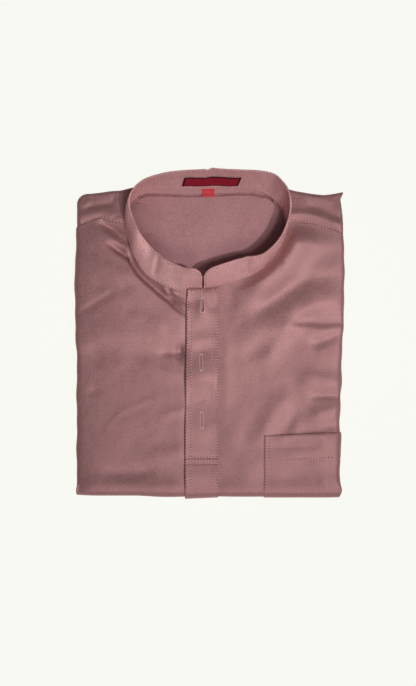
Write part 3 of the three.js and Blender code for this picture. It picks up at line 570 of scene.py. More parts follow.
# Shoulder flaps: spokes from the seam or the neck out to the edge of the back panel
SPOKE = "x y edge_x edge_y"
LEFT_SPOKES = table(SPOKE, (
    (-117, 113.4, -133.2, 106.8), (-113, 114.6, -133.3, 115), (-110, 115.2, -133.2, 124),
    (-108.6, 115.6, -133.2, 131), (-107.4, 115.4, -130.8, 136.2), (-106, 114.8, -125.6, 139.5),
    (-103.5, 113.7, -118, 140.3), (-99.5, 112.1, -108, 141.5), (-93, 110.9, -99, 142.8),
    (-82.4, 110.4, -92, 143.2), (-82.4, 118, -87, 144), (-78.8, 127, -81, 145.6),
    (-71.6, 135.3, -72, 147.6),
))
RIGHT_SPOKES = table(SPOKE, (
    (121, 104.7, 133.4, 99.4), (116, 106.2, 133.4, 110), (113, 107.1, 132.6, 120),
    (110.8, 107.7, 131.4, 130), (109.4, 108.1, 130.9, 134.4), (108.6, 108.3, 132.4, 138.0),
    (107.6, 108.6, 133.2, 141.6), (105.6, 109.0, 127.5, 140.6), (101, 110, 115, 138.9),
    (94, 110.6, 104, 139.8), (86, 110.9, 94, 141.4), (74.3, 111, 85, 143),
    (73.4, 117.4, 80, 144.4), (70, 125.2, 74, 145.8), (63.2, 132, 65, 147.4),
))
FLAP_ROLL = 4.0
FLAP_TUCK = 11.0
NECK_DROP = 3.2
FLAP_FALL = 2.2


def flap_level(x, y):
    near_neck = 1 - smoothstep(80, 94, np.abs(x - NECK_MIDDLE))
    level = STACK - NECK_DROP * smoothstep(111, 146, y) * near_neck
    return level - FLAP_FALL * smoothstep(108, 142, y) * (1 - near_neck)


def flap_height(x, y):
    made = creases(SHOULDER_CREASES, x, y) + 0.2 * ripple(x, y, 14, 5.5)
    return flap_level(x, y) + made * smoothstep(0, 5, y - shoulder_seam(x))


def shoulder_flap(name, spokes, mirrored):
    """Cloth of one shoulder: out from the seam, down round its edge and back in."""
    stations = smooth_path([list(spoke.values()) for spoke in spokes], 72)
    start, edge = stations[:, :2], stations[:, 2:]
    way = unit(edge - start)
    reach = np.linalg.norm(edge - start, axis=1, keepdims=True) - FLAP_ROLL

    def outward(origin_x, origin_y, distance):
        return origin_x + way[:, :1] * distance, origin_y + way[:, 1:] * distance

    x, y = outward(start[:, :1], start[:, 1:], reach * np.linspace(0, 1, 20))
    top = xyz(x, y, flap_height(x, y))
    end_x, end_y = x[:, -1:], y[:, -1:]
    level = flap_level(end_x, end_y)
    lift = flap_height(end_x, end_y) - level
    half = (level - BACK_LEVEL + SATIN) / 2
    angles = np.linspace(0, math.pi, 10)[1:]
    turned_z = level - half + half * np.cos(angles) + lift * np.clip(np.cos(angles), 0, 1)
    roll = xyz(*outward(end_x, end_y, FLAP_ROLL * np.sin(angles)), turned_z)
    inner_z = np.broadcast_to(turned_z[:, -1:], (len(stations), 3))
    tuck = xyz(*outward(end_x, end_y, -FLAP_TUCK * shares(3)), inner_z)
    points = np.concatenate([top, roll, tuck], axis=1).transpose(1, 0, 2)[::-1]
    return cloth_from_grid(name, points[:, ::-1] if mirrored else points)


# Back panel inside the neck, with the width of the strip that binds its upper edge
STRIP = table("x width", (
    (-68, 1.0), (-50, 4.2), (-36, 5.4), (-18, 5.8), (5, 5.6), (30, 4.6), (50, 2.8), (60, 0.5),
))
GROOVE = 1.6             # depth of the groove under that strip
BACK_EDGE = 15.2         # height of its upper edge in the middle
BACK_EDGE_RISE, BACK_EDGE_HALF = 2.0, 72


def back_edge_height(x):
    return BACK_EDGE + BACK_EDGE_RISE * ((x - NECK_MIDDLE) / BACK_EDGE_HALF) ** 2


def dish_height(x, y, groove=GROOVE):
    """Height of the back panel inside the neck."""
    rest = DISH + 0.03 * (y - 70) - 2.8 * smoothstep(-44, -84, x)
    rest = rest + 0.6 * ripple(x, y, 42, 11.3) + 0.2 * ripple(x, y, 17, 2.2)
    below = look_up(BACK_NECK, "x", x, "y") - y
    middle = 1 - smoothstep(62, 78, np.abs(x - NECK_MIDDLE))
    width = look_up(STRIP, "x", x, "width")
    strip = back_edge_height(x) - 0.3 - 0.11 * below
    joined = lerp(rest, strip, smoothstep(width + 0.6, width - 0.2, below) * middle)
    joined = joined - groove * np.exp(-((below - width - 0.8) / 0.9) ** 2) * middle
    return lerp(joined, back_edge_height(x) + 1.0, smoothstep(2, -1, below) * (1 - middle))


def back_dish():
    x = np.linspace(-97, 92, 96)
    low = np.maximum(np.minimum(neck_seam(x), 104) - 13, 33)
    at_neck = np.abs(x - NECK_MIDDLE) < 68
    high = np.where(at_neck, look_up(BACK_NECK, "x", x, "y") + 1.0, 134.5)
    share = np.concatenate([np.linspace(1, 0.84, 34), np.linspace(0.84, 0, 46)[1:]])[:, None]
    y = low + (high - low) * share
    x = np.broadcast_to(x, y.shape)
    return cloth_from_grid("dish", xyz(x, y, dish_height(x, y)))


def back_panel(right_side, wrong_side):
    """The wrong side of the back shows inside the neck, and the right side on the shoulders."""
    pieces = [back_dish(), shoulder_flap("flap_left", LEFT_SPOKES, False),
              shoulder_flap("flap_right", RIGHT_SPOKES, True)]
    for piece, cloth in zip(pieces, (wrong_side, right_side, right_side)):
        piece.data.materials.append(cloth)
        thicken(piece, SATIN)
    return join("back", pieces)


# Stand collar
def collar_stations():
    """Neck seam point and lean of the band at each station, clear of the cloth below it."""
    stations = []
    for index, row in enumerate(COLLAR):
        x, y = np.array([row["x"]]), np.array([row["y"]])
        if BACK_FIRST < index < BACK_LAST:
            level = back_edge_height(x)
        elif row["y"] < 110:
            level = STACK + chest_lift(x, y)
        else:
            level = flap_height(x, y)
        plan = math.hypot(row["lean_x"], row["lean_y"])
        height = float(level[0]) + LAY + COLLAR_WALL / 2 * plan / BAND
        rise = math.sqrt(max(BAND ** 2 - plan ** 2, 0.0))
        stations.append((row["x"], row["y"], height, row["lean_x"], row["lean_y"], rise))
    return stations


def collar_frame():
    """Neck seam points, leans and heights of the band, evenly spaced round the collar."""
    path = smooth_path(collar_stations(), 2000)
    walked = walk(path[:, :2])
    spaced = np.linspace(0, walked[-1], 260)
    even = read_path(path, walked, spaced)
    from_end = np.minimum(spaced, walked[-1] - spaced)
    near = np.clip(BAND_CORNER - from_end, 0, None)
    drop = BAND_CORNER - np.sqrt(np.maximum(BAND_CORNER ** 2 - near ** 2, 0))
    return even[:, :3], even[:, 3:], 1 - drop / BAND, spaced


COLLAR_BASE, COLLAR_LEAN, COLLAR_SHARE, COLLAR_WALKED = collar_frame()
COLLAR_LENGTH = COLLAR_WALKED[-1]

# Soft dents of the band: place along it, width, depth, and where up the band each is deepest
BAND_DENTS = table("at width depth up", (
    (30, 7, 0.6, 0.5), (51, 3.6, 1.8, 0.7), (59, 8, 0.5, 0.6), (96, 10, 0.6, 0.5), (128, 9, -0.5, 0.4),
    (176, 10, 0.6, 0.6), (213, 2.4, 1.4, 1.0), (219, 2.4, -0.9, 1.0), (262, 9, 0.5, 0.5),
    (300, 8, 0.7, 0.6), (352, 9, -0.5, 0.5), (387, 3.6, 1.8, 0.7), (376, 6, -0.6, 0.5), (396, 9, 1.0, 0.6),
))


def collar_points(place, up, inward):
    """Points on the band: place in millimetres round it, up from 0 at the seam to 1 at the edge."""
    place, up, inward = np.broadcast_arrays(np.asarray(place, float), up, inward)
    base, lean = (read_path(values, COLLAR_WALKED, place) for values in (COLLAR_BASE, COLLAR_LEAN))
    middle = COLLAR_BASE + COLLAR_LEAN / 2
    ahead, behind = (read_path(middle, COLLAR_WALKED, place + step) for step in (1.5, -1.5))
    inside = unit(np.cross(ahead - behind, lean))
    bulge = 0.8 * np.sin(math.pi * up)
    for dent in BAND_DENTS:
        shape = np.exp(-((place - dent["at"]) / dent["width"]) ** 2)
        shape = shape * np.exp(-((up - dent["up"]) / 0.5) ** 2) * smoothstep(0, 0.25, up)
        bulge = bulge - dent["depth"] * shape
    bulge = bulge + 0.25 * np.sin(place / 17.0) * up
    share = np.interp(place, COLLAR_WALKED, COLLAR_SHARE)
    return base + lean * (up * share)[..., None] + inside * (inward - bulge)[..., None]


def collar_band():
    place = np.linspace(0, COLLAR_LENGTH, 240)[None, :]
    up = np.linspace(1, 0, 18)[:, None]
    piece = cloth_from_grid("collar", collar_points(place, up, 0.0))
    return thicken(piece, COLLAR_WALL, offset=0.0, edge=0.45)


# Placket: its left edge is free and its right one is sewn down
PLACKET_EDGE = table("y x", (
    (-170, -25.0), (-126, -25.5), (-66, -25.0), (-6, -24.0), (34, -24.0), (46, -22.4),
))
PLACKET_RIGHT = 8.0
UNDER_LEFT, UNDER_RIGHT = -20.5, -3.5
TRIM_TURN = 0.74         # the placket and pocket end at this share of the bottom fold


def placket_level(share):
    """How far the placket's outer face stands off the chest, from its free edge to its sewn one."""
    return lerp(2.4, 0.95, share)


def placket_relief(x, y):
    return creases(PLACKET_CREASES, x, y) + swells(PLACKET_SWELLS, x, y)


def placket_height(x, y):
    left = look_up(PLACKET_EDGE, "y", y, "x")
    share = np.clip((x - left) / (PLACKET_RIGHT - left), 0, 1)
    return STACK + chest_lift(x, y) + placket_level(share) + placket_relief(x, y)


def placket_band():
    """The placket's outer face; its top runs in under the collar on the sewn side."""
    rows = panel_rows(132, 12, 0, TRIM_TURN)
    chest = rows[0] == CHEST_ROW
    grid = []
    for share in np.concatenate([[0, 0.004, 0.012, 0.026], np.linspace(0.05, 0.95, 34), [0.985, 1]]):
        start_x = lerp(PLACKET_EDGE[-1]["x"], PLACKET_RIGHT, share)
        top = float(neck_seam(start_x) - 1.5 + 2.4 * smoothstep(CENTRE - 1, CENTRE + 2, start_x))
        y = lerp(top, BEND_Y, np.where(chest, rows[1], 1.0))
        x = lerp(look_up(PLACKET_EDGE, "y", y, "x"), PLACKET_RIGHT, share)
        level = placket_level(share) + placket_relief(x, y) * chest
        from_edge = share * (PLACKET_RIGHT - PLACKET_EDGE[0]["x"])
        level = level - 1.4 * (1 - np.sqrt(np.clip(from_edge / 0.8, 0, 1)))
        level = level - 0.5 * (1 - smoothstep(0, 0.9, top - y)) * chest
        under_collar = smoothstep(CENTRE - 1, CENTRE + 2, x) * (1 - smoothstep(1.5, 5.0, top - y))
        level = lerp(level, 0.6, under_collar * chest)
        grid.append(panel_column({"x": x, "top": top}, rows, level))
    return thicken(cloth_from_grid("placket", np.stack(grid, axis=1)), SATIN)


def under_placket():
    x, y = np.meshgrid(np.linspace(UNDER_LEFT, UNDER_RIGHT, 10), np.linspace(44.0, OPENING_END + 2, 60))
    z = STACK + chest_lift(x, y) + 0.8
    return thicken(cloth_from_grid("under_placket", xyz(x, y, z)), UNDER_WALL)


# Pocket
POCKET_LEFT = 54.0
POCKET_TOP = -102.0
POCKET_TILT = 0.045
POCKET_HEM = 25.0
POCKET_LEVEL = 0.9
POCKET_SIDE = 125.0      # round the side fold the mouth is as high as it is here
POCKET_SIDE_COLUMNS = 13                 # the pocket runs this far round the side fold


def pocket_mouth(x):
    return POCKET_TOP + (np.minimum(x, 130) - POCKET_LEFT) * POCKET_TILT


def pocket_level(x, y):
    """How far the pocket stands off the chest: the hem is one layer thicker."""
    below = pocket_mouth(x) - y
    level = POCKET_LEVEL + 0.35 * (1 - smoothstep(POCKET_HEM - 0.6, POCKET_HEM + 0.8, below))
    for from_edge in (below, x - POCKET_LEFT):
        level = level - 0.35 * (1 - smoothstep(0, 1.0, from_edge))
    gape = smoothstep(58, 74, x) * smoothstep(124, 108, x)
    level = level + 1.3 * gape * (1 - smoothstep(0, 12, below))
    return level + creases(POCKET_CREASES, x, y)


def pocket_height(x, y):
    return STACK + chest_lift(x, y) + pocket_level(x, y)


def patch_pocket():
    turned_edge = [POCKET_LEFT, POCKET_LEFT + 0.4, POCKET_LEFT + 1.0]
    columns = [{"x": float(x)} for x in [*turned_edge, *np.linspace(POCKET_LEFT + 2.5, FRONT_RIGHT, 36)]]
    columns += side_columns(1, FRONT_RIGHT, 6, 9, 0)[:POCKET_SIDE_COLUMNS]
    rows = panel_rows(44, 12, 0, TRIM_TURN)
    grid = []
    for column in columns:
        x = POCKET_SIDE if "side" in column else column["x"]
        column["top"] = float(pocket_mouth(x))
        y = lerp(column["top"], BEND_Y, rows[1])
        level = np.where(rows[0] == CHEST_ROW, pocket_level(np.full(len(y), x), y), POCKET_LEVEL)
        grid.append(panel_column(column, rows, level))
    return thicken(cloth_from_grid("pocket", np.stack(grid, axis=1)), POCKET_WALL)


# Label and tab
LABEL_FROM, LABEL_TO = 193.0, 249.5      # ends of the label, round the collar
LABEL_LOW, LABEL_HIGH = 0.16, 0.60       # its edges, as shares of the band's height
TAB_RIGHT, TAB_END = 4.5, 137.2


def neck_label():
    up = np.linspace(LABEL_HIGH, LABEL_LOW, 12)[:, None]
    place = np.linspace(LABEL_FROM, LABEL_TO, 60)[None, :]
    rise = (up - LABEL_LOW) / (LABEL_HIGH - LABEL_LOW)
    slant = rise * lerp(-0.7, 0.9, (place - LABEL_FROM) / (LABEL_TO - LABEL_FROM)) - 1.0
    inward = COLLAR_WALL / 2 + 0.85 + 0.3 * np.sin(place / 7.0)
    points = collar_points(place + slant, up + 0.02 * np.sin(place / 5.0), inward)
    return thicken(cloth_from_grid("neck_label", points), LABEL_WALL, edge=0.12)


def size_tab():
    """Loose at its lower end; its upper end runs in under the collar's seam."""
    x, y = np.meshgrid(np.linspace(TAB_LEFT, TAB_RIGHT, 14), np.linspace(TAB_TOP + 3.8, TAB_END, 14))
    clear = 0.5 + 0.7 * smoothstep(146, 143, y) + 0.5 * smoothstep(141, 137.4, y)
    z = dish_height(x, y, groove=0.0) + clear
    return thicken(cloth_from_grid("size_tab", xyz(x, y, z)), TAB_WALL)


# Hidden layers: folded cloth whose rounded edges show between the chest and the tail
LIPS = table("left right low high under over", (
    (-126.8, 125.4, -139.0, 131.0, 11.3, 13.1), (-124.6, 123.0, -138.0, 128.4, 9.4, 11.2),
    (-123.4, 124.6, -136.0, 126.2, 7.5, 9.3), (-127.6, 125.2, -122.0, 120.0, 3.5, 5.5),
    (-126.0, 124.0, -120.0, 117.4, 1.3, 3.4),
))
LIP_CORNER = 9.0
LIP_INSET = 8.0


def lip_outline(lip, inset):
    """Rounded rectangle, moved in by inset, as points round it."""
    corners = ((lip["right"], lip["high"]), (lip["left"], lip["high"]),
               (lip["left"], lip["low"]), (lip["right"], lip["low"]))
    points = []
    for quarter, corner in enumerate(corners):
        middle = np.array(corner) - np.copysign(LIP_CORNER, corner)
        angles = np.linspace(quarter / 2, (quarter + 1) / 2, 7) * math.pi
        points.extend(middle + (LIP_CORNER - inset) * np.stack([np.cos(angles), np.sin(angles)], axis=1))
    closed = np.array(points + points[:1])
    walked = walk(closed)
    return read_path(closed, walked, np.linspace(0, walked[-1], 280))


def layer_lip(lip, number):
    """One folded edge: a sheet that comes out, turns over and runs back in."""
    half = (lip["over"] - lip["under"]) / 2 - 0.05
    middle = (lip["over"] + lip["under"]) / 2
    outer = lip_outline(lip, 0.0)
    way = unit(outer - lip_outline(lip, LIP_INSET))
    uneven = 1.2 * ripple(outer[:, 0], outer[:, 1], 45, 1.7 * number)
    uneven[-1] = uneven[0]
    angles = np.linspace(math.pi / 2, -math.pi / 2, 9)
    out = np.concatenate([[-34, -14], half * np.cos(angles) - half, [-14, -34]])
    height = middle + half * np.concatenate([[1, 1], np.sin(angles), [-1, -1]])
    plan = outer + way * (out[:, None] + uneven)[..., None]
    level = np.broadcast_to(height[:, None, None], plan[..., :1].shape)
    piece = cloth_from_grid(f"lip_{number}", np.concatenate([plan, level], axis=-1))
    select_only(piece)
    bpy.ops.object.mode_set(mode="EDIT")
    bpy.ops.mesh.select_all(action="SELECT")
    bpy.ops.mesh.remove_doubles(threshold=0.00005)
    bpy.ops.object.mode_set(mode="OBJECT")
    return thicken(piece, LAYER_WALL)


def folded_layers():
    return join("folded_layers", [layer_lip(lip, number) for number, lip in enumerate(LIPS)])


# Sewing: where each row runs
COLLAR_ROWS = ((BAND_CORNER * 0.5, 1 - 1.3 / BAND), (0.8, 1.9 / BAND))  # from its ends, share up it
COLLAR_END = 1.8
PLACKET_FREE_ROWS = ((0.045, 44.2), (0.185, 42.0))  # share across the placket, upper end
PLACKET_SEWN_ROWS = (2.3, 7.3)
PLACKET_BARS = (-123.2, -128.6)
PLACKET_BELOW_NECK = 3.6
POCKET_ROWS = (1.4, 5.4)                 # distances from its free side
SHOULDER_ROWS = ((-128, -86), (79, 129))
SHOULDER_FROM_SEAM = 1.4


def fixed_order(corners, faces):
    """The same mesh in a fixed order, because Blender's sphere lists its faces differently each run."""
    order = np.lexsort(np.round(corners, 4).T)
    number = {old: new for new, old in enumerate(order)}
    faces = [[number[corner] for corner in face] for face in faces]
    starts = [face.index(min(face)) for face in faces]
    return corners[order], sorted(face[start:] + face[:start] for face, start in zip(faces, starts))


def threads(name, places, frames, size):
    """One joined mesh of small rounded threads at the given places, each size long, wide and high."""
    bpy.ops.object.select_all(action="DESELECT")
    bpy.ops.mesh.primitive_uv_sphere_add(segments=6, ring_count=5, radius=0.5)
    piece = named(bpy.context.active_object, name)
    faces = [list(face.vertices)[::-1] for face in piece.data.polygons]
    one, faces = fixed_order(vertex_places(piece.data)[:, [2, 1, 0]], faces)
    points = np.concatenate([(one * size) @ axes + place for place, axes in zip(places, frames)])
    whole = [[v + number * len(one) for v in face] for number in range(len(places)) for face in faces]
    piece.data.clear_geometry()
    piece.data.from_pydata(((points + SHIFT) * MM).tolist(), [], whole)
    piece.data.update()
    select_only(piece)
    bpy.ops.object.shade_smooth()
    return piece


def stitch_places(lines, start=0.0):
    """Middle and axes (along, across, up) of each stitch along lines of (points, normals)."""
    places, frames = [], []
    for points, normals in lines:
        walked = walk(points)
        at = np.arange(STITCH / 2 + start, walked[-1], STITCH)
        ahead, behind = (read_path(points, walked, at + step) for step in (0.6, -0.6))
        along = unit(ahead - behind)
        across = unit(np.cross(read_path(normals, walked, at), along))
        up = np.cross(along, across)
        places.extend(read_path(points, walked, at) + up * STITCH_LIFT)
        frames.extend(np.stack([along, across, up], axis=1))
    return places, frames


def sewing(name, lines):
    """Machine stitches along the lines, and small dark dots between them: painted shade of each needle hole.
    """
    stitches = threads(name, *stitch_places(lines), STITCH_SIZE)
    hole_shades = threads(name + "_holes", *stitch_places(lines, STITCH / 2), HOLE_SHADE_SIZE)
    return stitches, hole_shades


def collar_line(place, up, inward):
    """A row of stitches on the band, on its outer side where inward is negative."""
    points = collar_points(place, up, inward)
    return points, unit(collar_points(place, up, inward * 1.5) - points)


def collar_sewing():
    """Rows along the band's edge and its seam, then up both ends, on either face."""
    faces = (-COLLAR_WALL / 2, COLLAR_WALL / 2)
    lines = []
    for face in faces:
        for end, up in COLLAR_ROWS:
            lines.append(collar_line(np.linspace(end, COLLAR_LENGTH - end, 500), up, face))
    for end in (COLLAR_END, COLLAR_LENGTH - COLLAR_END):
        lines += [collar_line(end, np.linspace(0.08, 0.9, 40), face) for face in faces]
    return sewing("collar_sewing", lines)


def surface_line(x, y, height):
    """A row of stitches on a nearly level surface, whose height is a function of x and y."""
    x, y = np.broadcast_arrays(np.asarray(x, float), np.asarray(y, float))
    z = height(x, y)
    slope_x = (height(x + 0.5, y) - z) / 0.5
    slope_y = (height(x, y + 0.5) - z) / 0.5
    return xyz(x, y, z), unit(xyz(-slope_x, -slope_y, np.ones_like(z)))


def placket_sewing():
    """Two rows down either side, one below the collar and two bars where the opening ends."""
    y = np.linspace(44.4, BEND_Y, 300)
    lines = []
    for share, top in PLACKET_FREE_ROWS:
        lower = y[y < top]
        x = lerp(look_up(PLACKET_EDGE, "y", lower, "x"), PLACKET_RIGHT, share)
        lines.append(surface_line(x, lower, placket_height))
    for x in PLACKET_SEWN_ROWS:
        lines.append(surface_line(x, y, placket_height))
    x = np.linspace(-21.4, 5.8, 60)
    lines.append(surface_line(x, neck_seam(x) - PLACKET_BELOW_NECK, placket_height))
    for bar in PLACKET_BARS:
        lines.append(surface_line(np.linspace(-24, 6, 60), bar, placket_height))
    return sewing("placket_sewing", lines)


def pocket_sewing():
    """A row down the pocket's free side, a short one inside its hem and one along the hem."""
    side = np.linspace(pocket_mouth(55.4) - 1.2, BEND_Y + 1, 120)
    short = np.linspace(pocket_mouth(60) - 1.2, pocket_mouth(60) - POCKET_HEM + 0.5, 50)
    x = np.linspace(POCKET_LEFT + 1.6, 122, 120)
    first, second = (POCKET_LEFT + distance for distance in POCKET_ROWS)
    rows = ((first, side), (second, short), (x, pocket_mouth(x) - POCKET_HEM))
    return sewing("pocket_sewing", [surface_line(x, y, pocket_height) for x, y in rows])


def shoulder_sewing():
    lines = []
    for start, stop in SHOULDER_ROWS:
        x = np.linspace(start, stop, 80)
        lines.append(surface_line(x, shoulder_seam(x) + SHOULDER_FROM_SEAM, flap_height))
    return sewing("shoulder_sewing", lines)


# Buttonholes: place, half length, how far each gapes, width of its rim, and how much it
# narrows upwards
BUTTONHOLES = table("x y half gape rim taper", (
    (-7.4, 28.6, 7.2, 1.3, 0.6, 0.5),
    (-8.8, -28.8, 7.8, 0.12, 1.45, 0.0),
    (-8.2, -86.4, 7.8, 0.12, 1.45, 0.0),
))
BUTTONHOLE_STITCH = (0.75, 0.45, 0.3)


def hole_x(hole, wide, angle):
    return hole["x"] + wide * math.cos(angle) * (1 - hole["taper"] * math.sin(angle))


def cut_buttonholes(placket):
    """Cut each buttonhole through the placket with a lens-shaped cutter."""
    for hole in BUTTONHOLES:
        bpy.ops.object.select_all(action="DESELECT")
        bpy.ops.mesh.primitive_cylinder_add(vertices=24, radius=1, depth=12 * MM)
        cutter = bpy.context.active_object
        for vertex in cutter.data.vertices:
            angle = math.atan2(vertex.co.y, vertex.co.x)
            x = hole_x(hole, hole["gape"], angle)
            y = hole["y"] + hole["half"] * math.sin(angle)
            z = STACK + 3 + vertex.co.z / MM
            vertex.co = Vector(((x + SHIFT[0]) * MM, (y + SHIFT[1]) * MM, z * MM))
        select_only(placket)
        cut = placket.modifiers.new("buttonhole", "BOOLEAN")
        cut.operation = "DIFFERENCE"
        cut.solver = "EXACT"
        cut.object = cutter
        bpy.ops.object.modifier_apply(modifier="buttonhole")
        bpy.data.objects.remove(cutter)


def buttonhole_sewing():
    """Close pale stitches round each buttonhole, each one along its rim."""
    places, frames = [], []
    up = np.array([0.0, 0.0, 1.0])
    for hole in BUTTONHOLES:
        for angle in np.linspace(0, 2 * math.pi, 96, endpoint=False):
            squareness = (math.cos(angle) ** 4 + math.sin(angle) ** 4) ** -0.25
            x = hole_x(hole, (hole["gape"] + hole["rim"]) * squareness, angle)
            y = hole["y"] + (hole["half"] + 0.4) * math.sin(angle) * squareness
            z = float(placket_height(np.array([x]), np.array([y]))[0])
            along = unit(np.array([math.cos(angle) * hole["half"], math.sin(angle) * hole["rim"], 0.0]))
            places.append(np.array([x, y, z + 0.1]))
            frames.append(np.stack([along, np.cross(up, along), up]))
    return threads("buttonhole_sewing", places, frames, BUTTONHOLE_STITCH)


# Materials
class Signal:
    """A shader socket that Python's own operators can work on."""

    def __init__(self, shader, socket):
        self.shader = shader
        self.socket = socket

    def maths(self, operation, first, second):
        return self.shader.node("ShaderNodeMath", {"operation": operation}, {0: first, 1: second})

    def __add__(self, other):
        return self.maths("ADD", self, other)

    def __sub__(self, other):
        return self.maths("SUBTRACT", self, other)

    def __rsub__(self, other):
        return self.maths("SUBTRACT", other, self)

    def __mul__(self, other):
        return self.maths("MULTIPLY", self, other)

    __radd__ = __add__
    __rmul__ = __mul__


class Shader:
    """A material under construction."""

    def __init__(self, name):
        self.material = bpy.data.materials.new(name)
        self.material.use_nodes = True
        self.tree = self.material.node_tree
        self.tree.nodes.clear()

    def node(self, kind, settings=None, inputs=None, output=0):
        """Any node: its settings first, then the values or links of its sockets."""
        made = self.tree.nodes.new(kind)
        for key, value in (settings or {}).items():
            setattr(made, key, value)
        for key, value in (inputs or {}).items():
            if isinstance(value, Signal):
                self.tree.links.new(value.socket, made.inputs[key])
            else:
                made.inputs[key].default_value = value
        return Signal(self, made.outputs[output]) if made.outputs else made

    def object_place(self):
        return self.node("ShaderNodeTexCoord", output=3)

    def cloth_place(self):
        """UV coordinates, in metres along the threads."""
        return self.node("ShaderNodeTexCoord", output=2)

    def noise(self, where, scale, detail=2.0, roughness=0.5):
        return self.node("ShaderNodeTexNoise", {}, {
            "Vector": where, "Scale": scale, "Detail": detail, "Roughness": roughness})

    def bands(self, where, direction, scale, distortion, detail=2.0):
        """Height of fine even ribs."""
        wave = self.node("ShaderNodeTexWave", {"wave_type": "BANDS", "bands_direction": direction}, {
            "Vector": where, "Scale": scale, "Distortion": distortion, "Detail": detail})
        return self.node("ShaderNodeSeparateColor", {}, {0: wave})

    def mix(self, share, low, high):
        return self.node("ShaderNodeMix", {"data_type": "RGBA"}, {0: share, 6: low, 7: high}, output=2)

    def bump(self, strength, distance, height):
        return self.node("ShaderNodeBump", {}, {
            "Strength": strength, "Distance": distance, "Height": height})

    def finish(self, **sockets):
        """Principled surface with the given sockets, joined to the output."""
        surface = self.node("ShaderNodeBsdfPrincipled", {}, {
            key.replace("_", " "): value for key, value in sockets.items()})
        self.node("ShaderNodeOutputMaterial", {}, {"Surface": surface})
        return self.material


# Darker and lighter colour of each cloth
ROSE = ((0.330, 0.155, 0.156, 1.0), (0.460, 0.226, 0.225, 1.0))
# The band is the shirt's own satin, coloured much lighter: painted sheen of its crosswise weave catching the
# light
SHEEN_LIT_BAND_ROSE = ((0.640, 0.328, 0.331, 1.0), (0.890, 0.480, 0.478, 1.0))
WRONG_SIDE_ROSE = ((0.375, 0.172, 0.180, 1.0), (0.500, 0.240, 0.250, 1.0))
# Sewing thread, lighter than the cloth: partly the thread's own colour, partly painted highlight of the
# raised stitches
THREAD = ((0.82, 0.42, 0.43, 1.0), (1.0, 0.60, 0.60, 1.0))
PALE_THREAD = ((0.70, 0.48, 0.48, 1.0), (0.95, 0.72, 0.71, 1.0))
# Dark dots between stitches: painted shade of each needle hole
NEEDLE_HOLE_SHADE = ((0.050, 0.010, 0.012, 1.0), (0.090, 0.020, 0.024, 1.0))
LABEL_RED = ((0.215, 0.007, 0.018, 1.0), (0.345, 0.013, 0.034, 1.0))
LABEL_EDGE = (0.012, 0.003, 0.005, 1.0)
LABEL_BORDER, LABEL_SIDE_BORDER = 1.6, 1.05
TAB_RED = ((0.58, 0.024, 0.040, 1.0), (0.80, 0.045, 0.068, 1.0))


def satin(name, colours, metallic=0.4):
    """Dusty-rose satin: a soft mottled grain, a fine weave and a broad sheen."""
    shader = Shader(name)
    where = shader.object_place()
    grain = shader.noise(where, 620.0, 3.0, 0.6)
    cloud = shader.noise(where, 120.0)
    weave = shader.bands(shader.cloth_place(), "DIAGONAL", 900.0, 1.5, 1.0)
    colour = shader.mix((grain - 0.5) * 2.4 + (cloud - 0.5) * 0.6 + 0.5, *colours)
    roughness = 0.54 + (grain - 0.5) * 0.16 + (cloud - 0.5) * 0.08
    bump = shader.bump(0.35, 0.00018, grain * 0.8 + weave * 0.2)
    return shader.finish(Base_Color=colour, Roughness=roughness, Normal=bump, Metallic=metallic,
                         Specular_IOR_Level=0.4)


def thread_cloth(name, colours):
    """Twisted polyester sewing thread; with dark colours, the dots of painted shade between stitches."""
    shader = Shader(name)
    twist = shader.noise(shader.object_place(), 2600.0, 1.0)
    return shader.finish(Base_Color=shader.mix(twist, *colours), Roughness=0.5,
                         Normal=shader.bump(0.4, 0.0001, twist))


def near_edge(where, size, border):
    """1 within the border along both edges of a strip of that size, in millimetres."""
    folded = where.maths("PINGPONG", where, size * MM / 2)
    return where.maths("LESS_THAN", folded, border * MM)


def label_cloth():
    """Dark crimson woven label with a thin black edge, bare of words."""
    shader = Shader("label_cloth")
    cloth = shader.cloth_place()
    across = shader.node("ShaderNodeSeparateXYZ", {}, {0: cloth})
    down = Signal(shader, across.socket.node.outputs[1])
    ends = near_edge(across, LABEL_TO - LABEL_FROM, LABEL_BORDER)
    sides = near_edge(down, (LABEL_HIGH - LABEL_LOW) * BAND, LABEL_SIDE_BORDER)
    ground = shader.mix(shader.noise(cloth, 900.0), *LABEL_RED)
    colour = shader.mix(ends.maths("MAXIMUM", ends, sides) * 0.93, ground, LABEL_EDGE)
    bump = shader.bump(0.5, 0.0001, shader.bands(cloth, "Y", 700.0, 0.6))
    return shader.finish(Base_Color=colour, Roughness=0.75, Normal=bump, Specular_IOR_Level=0.15)


def tab_cloth():
    """Bright red woven tab, bare of words."""
    shader = Shader("tab_cloth")
    cloth = shader.cloth_place()
    colour = shader.mix(shader.noise(cloth, 800.0), *TAB_RED)
    bump = shader.bump(0.5, 0.0001, shader.bands(cloth, "Y", 800.0, 0.5))
    return shader.finish(Base_Color=colour, Roughness=0.55, Normal=bump)


# Floor, lights and camera, in metres
FLOOR_COLOUR = (0.947, 0.947, 0.900, 1.0)
FLOOR_GLOW = 1.025
ROOM_COLOUR, ROOM_LIGHT = (1.0, 0.99, 0.97, 1.0), 0.10
LAMPS = table("name kind direction distance size watts", (
    ("key", "SPOT", (0.46, -0.19, 1.0), 4.5, 0.26, 330),
    ("high_key", "AREA", (0.30, -0.12, 1.0), 4.5, 0.5, 26.7),
    ("front_fill", "AREA", (0.05, -0.70, 1.0), 4.2, 2.1, 46),
))
KEY_AIM = (0.02, 0.02, 0.02)             # the key light is strongest here, and fades out to its reach
KEY_REACH = 0.265
CAMERA_PLACE = (-2.0, -9.5)              # in millimetres of the draft
CAMERA_HEIGHT = 1.6397
LENS, SENSOR = 85.0, 36.0


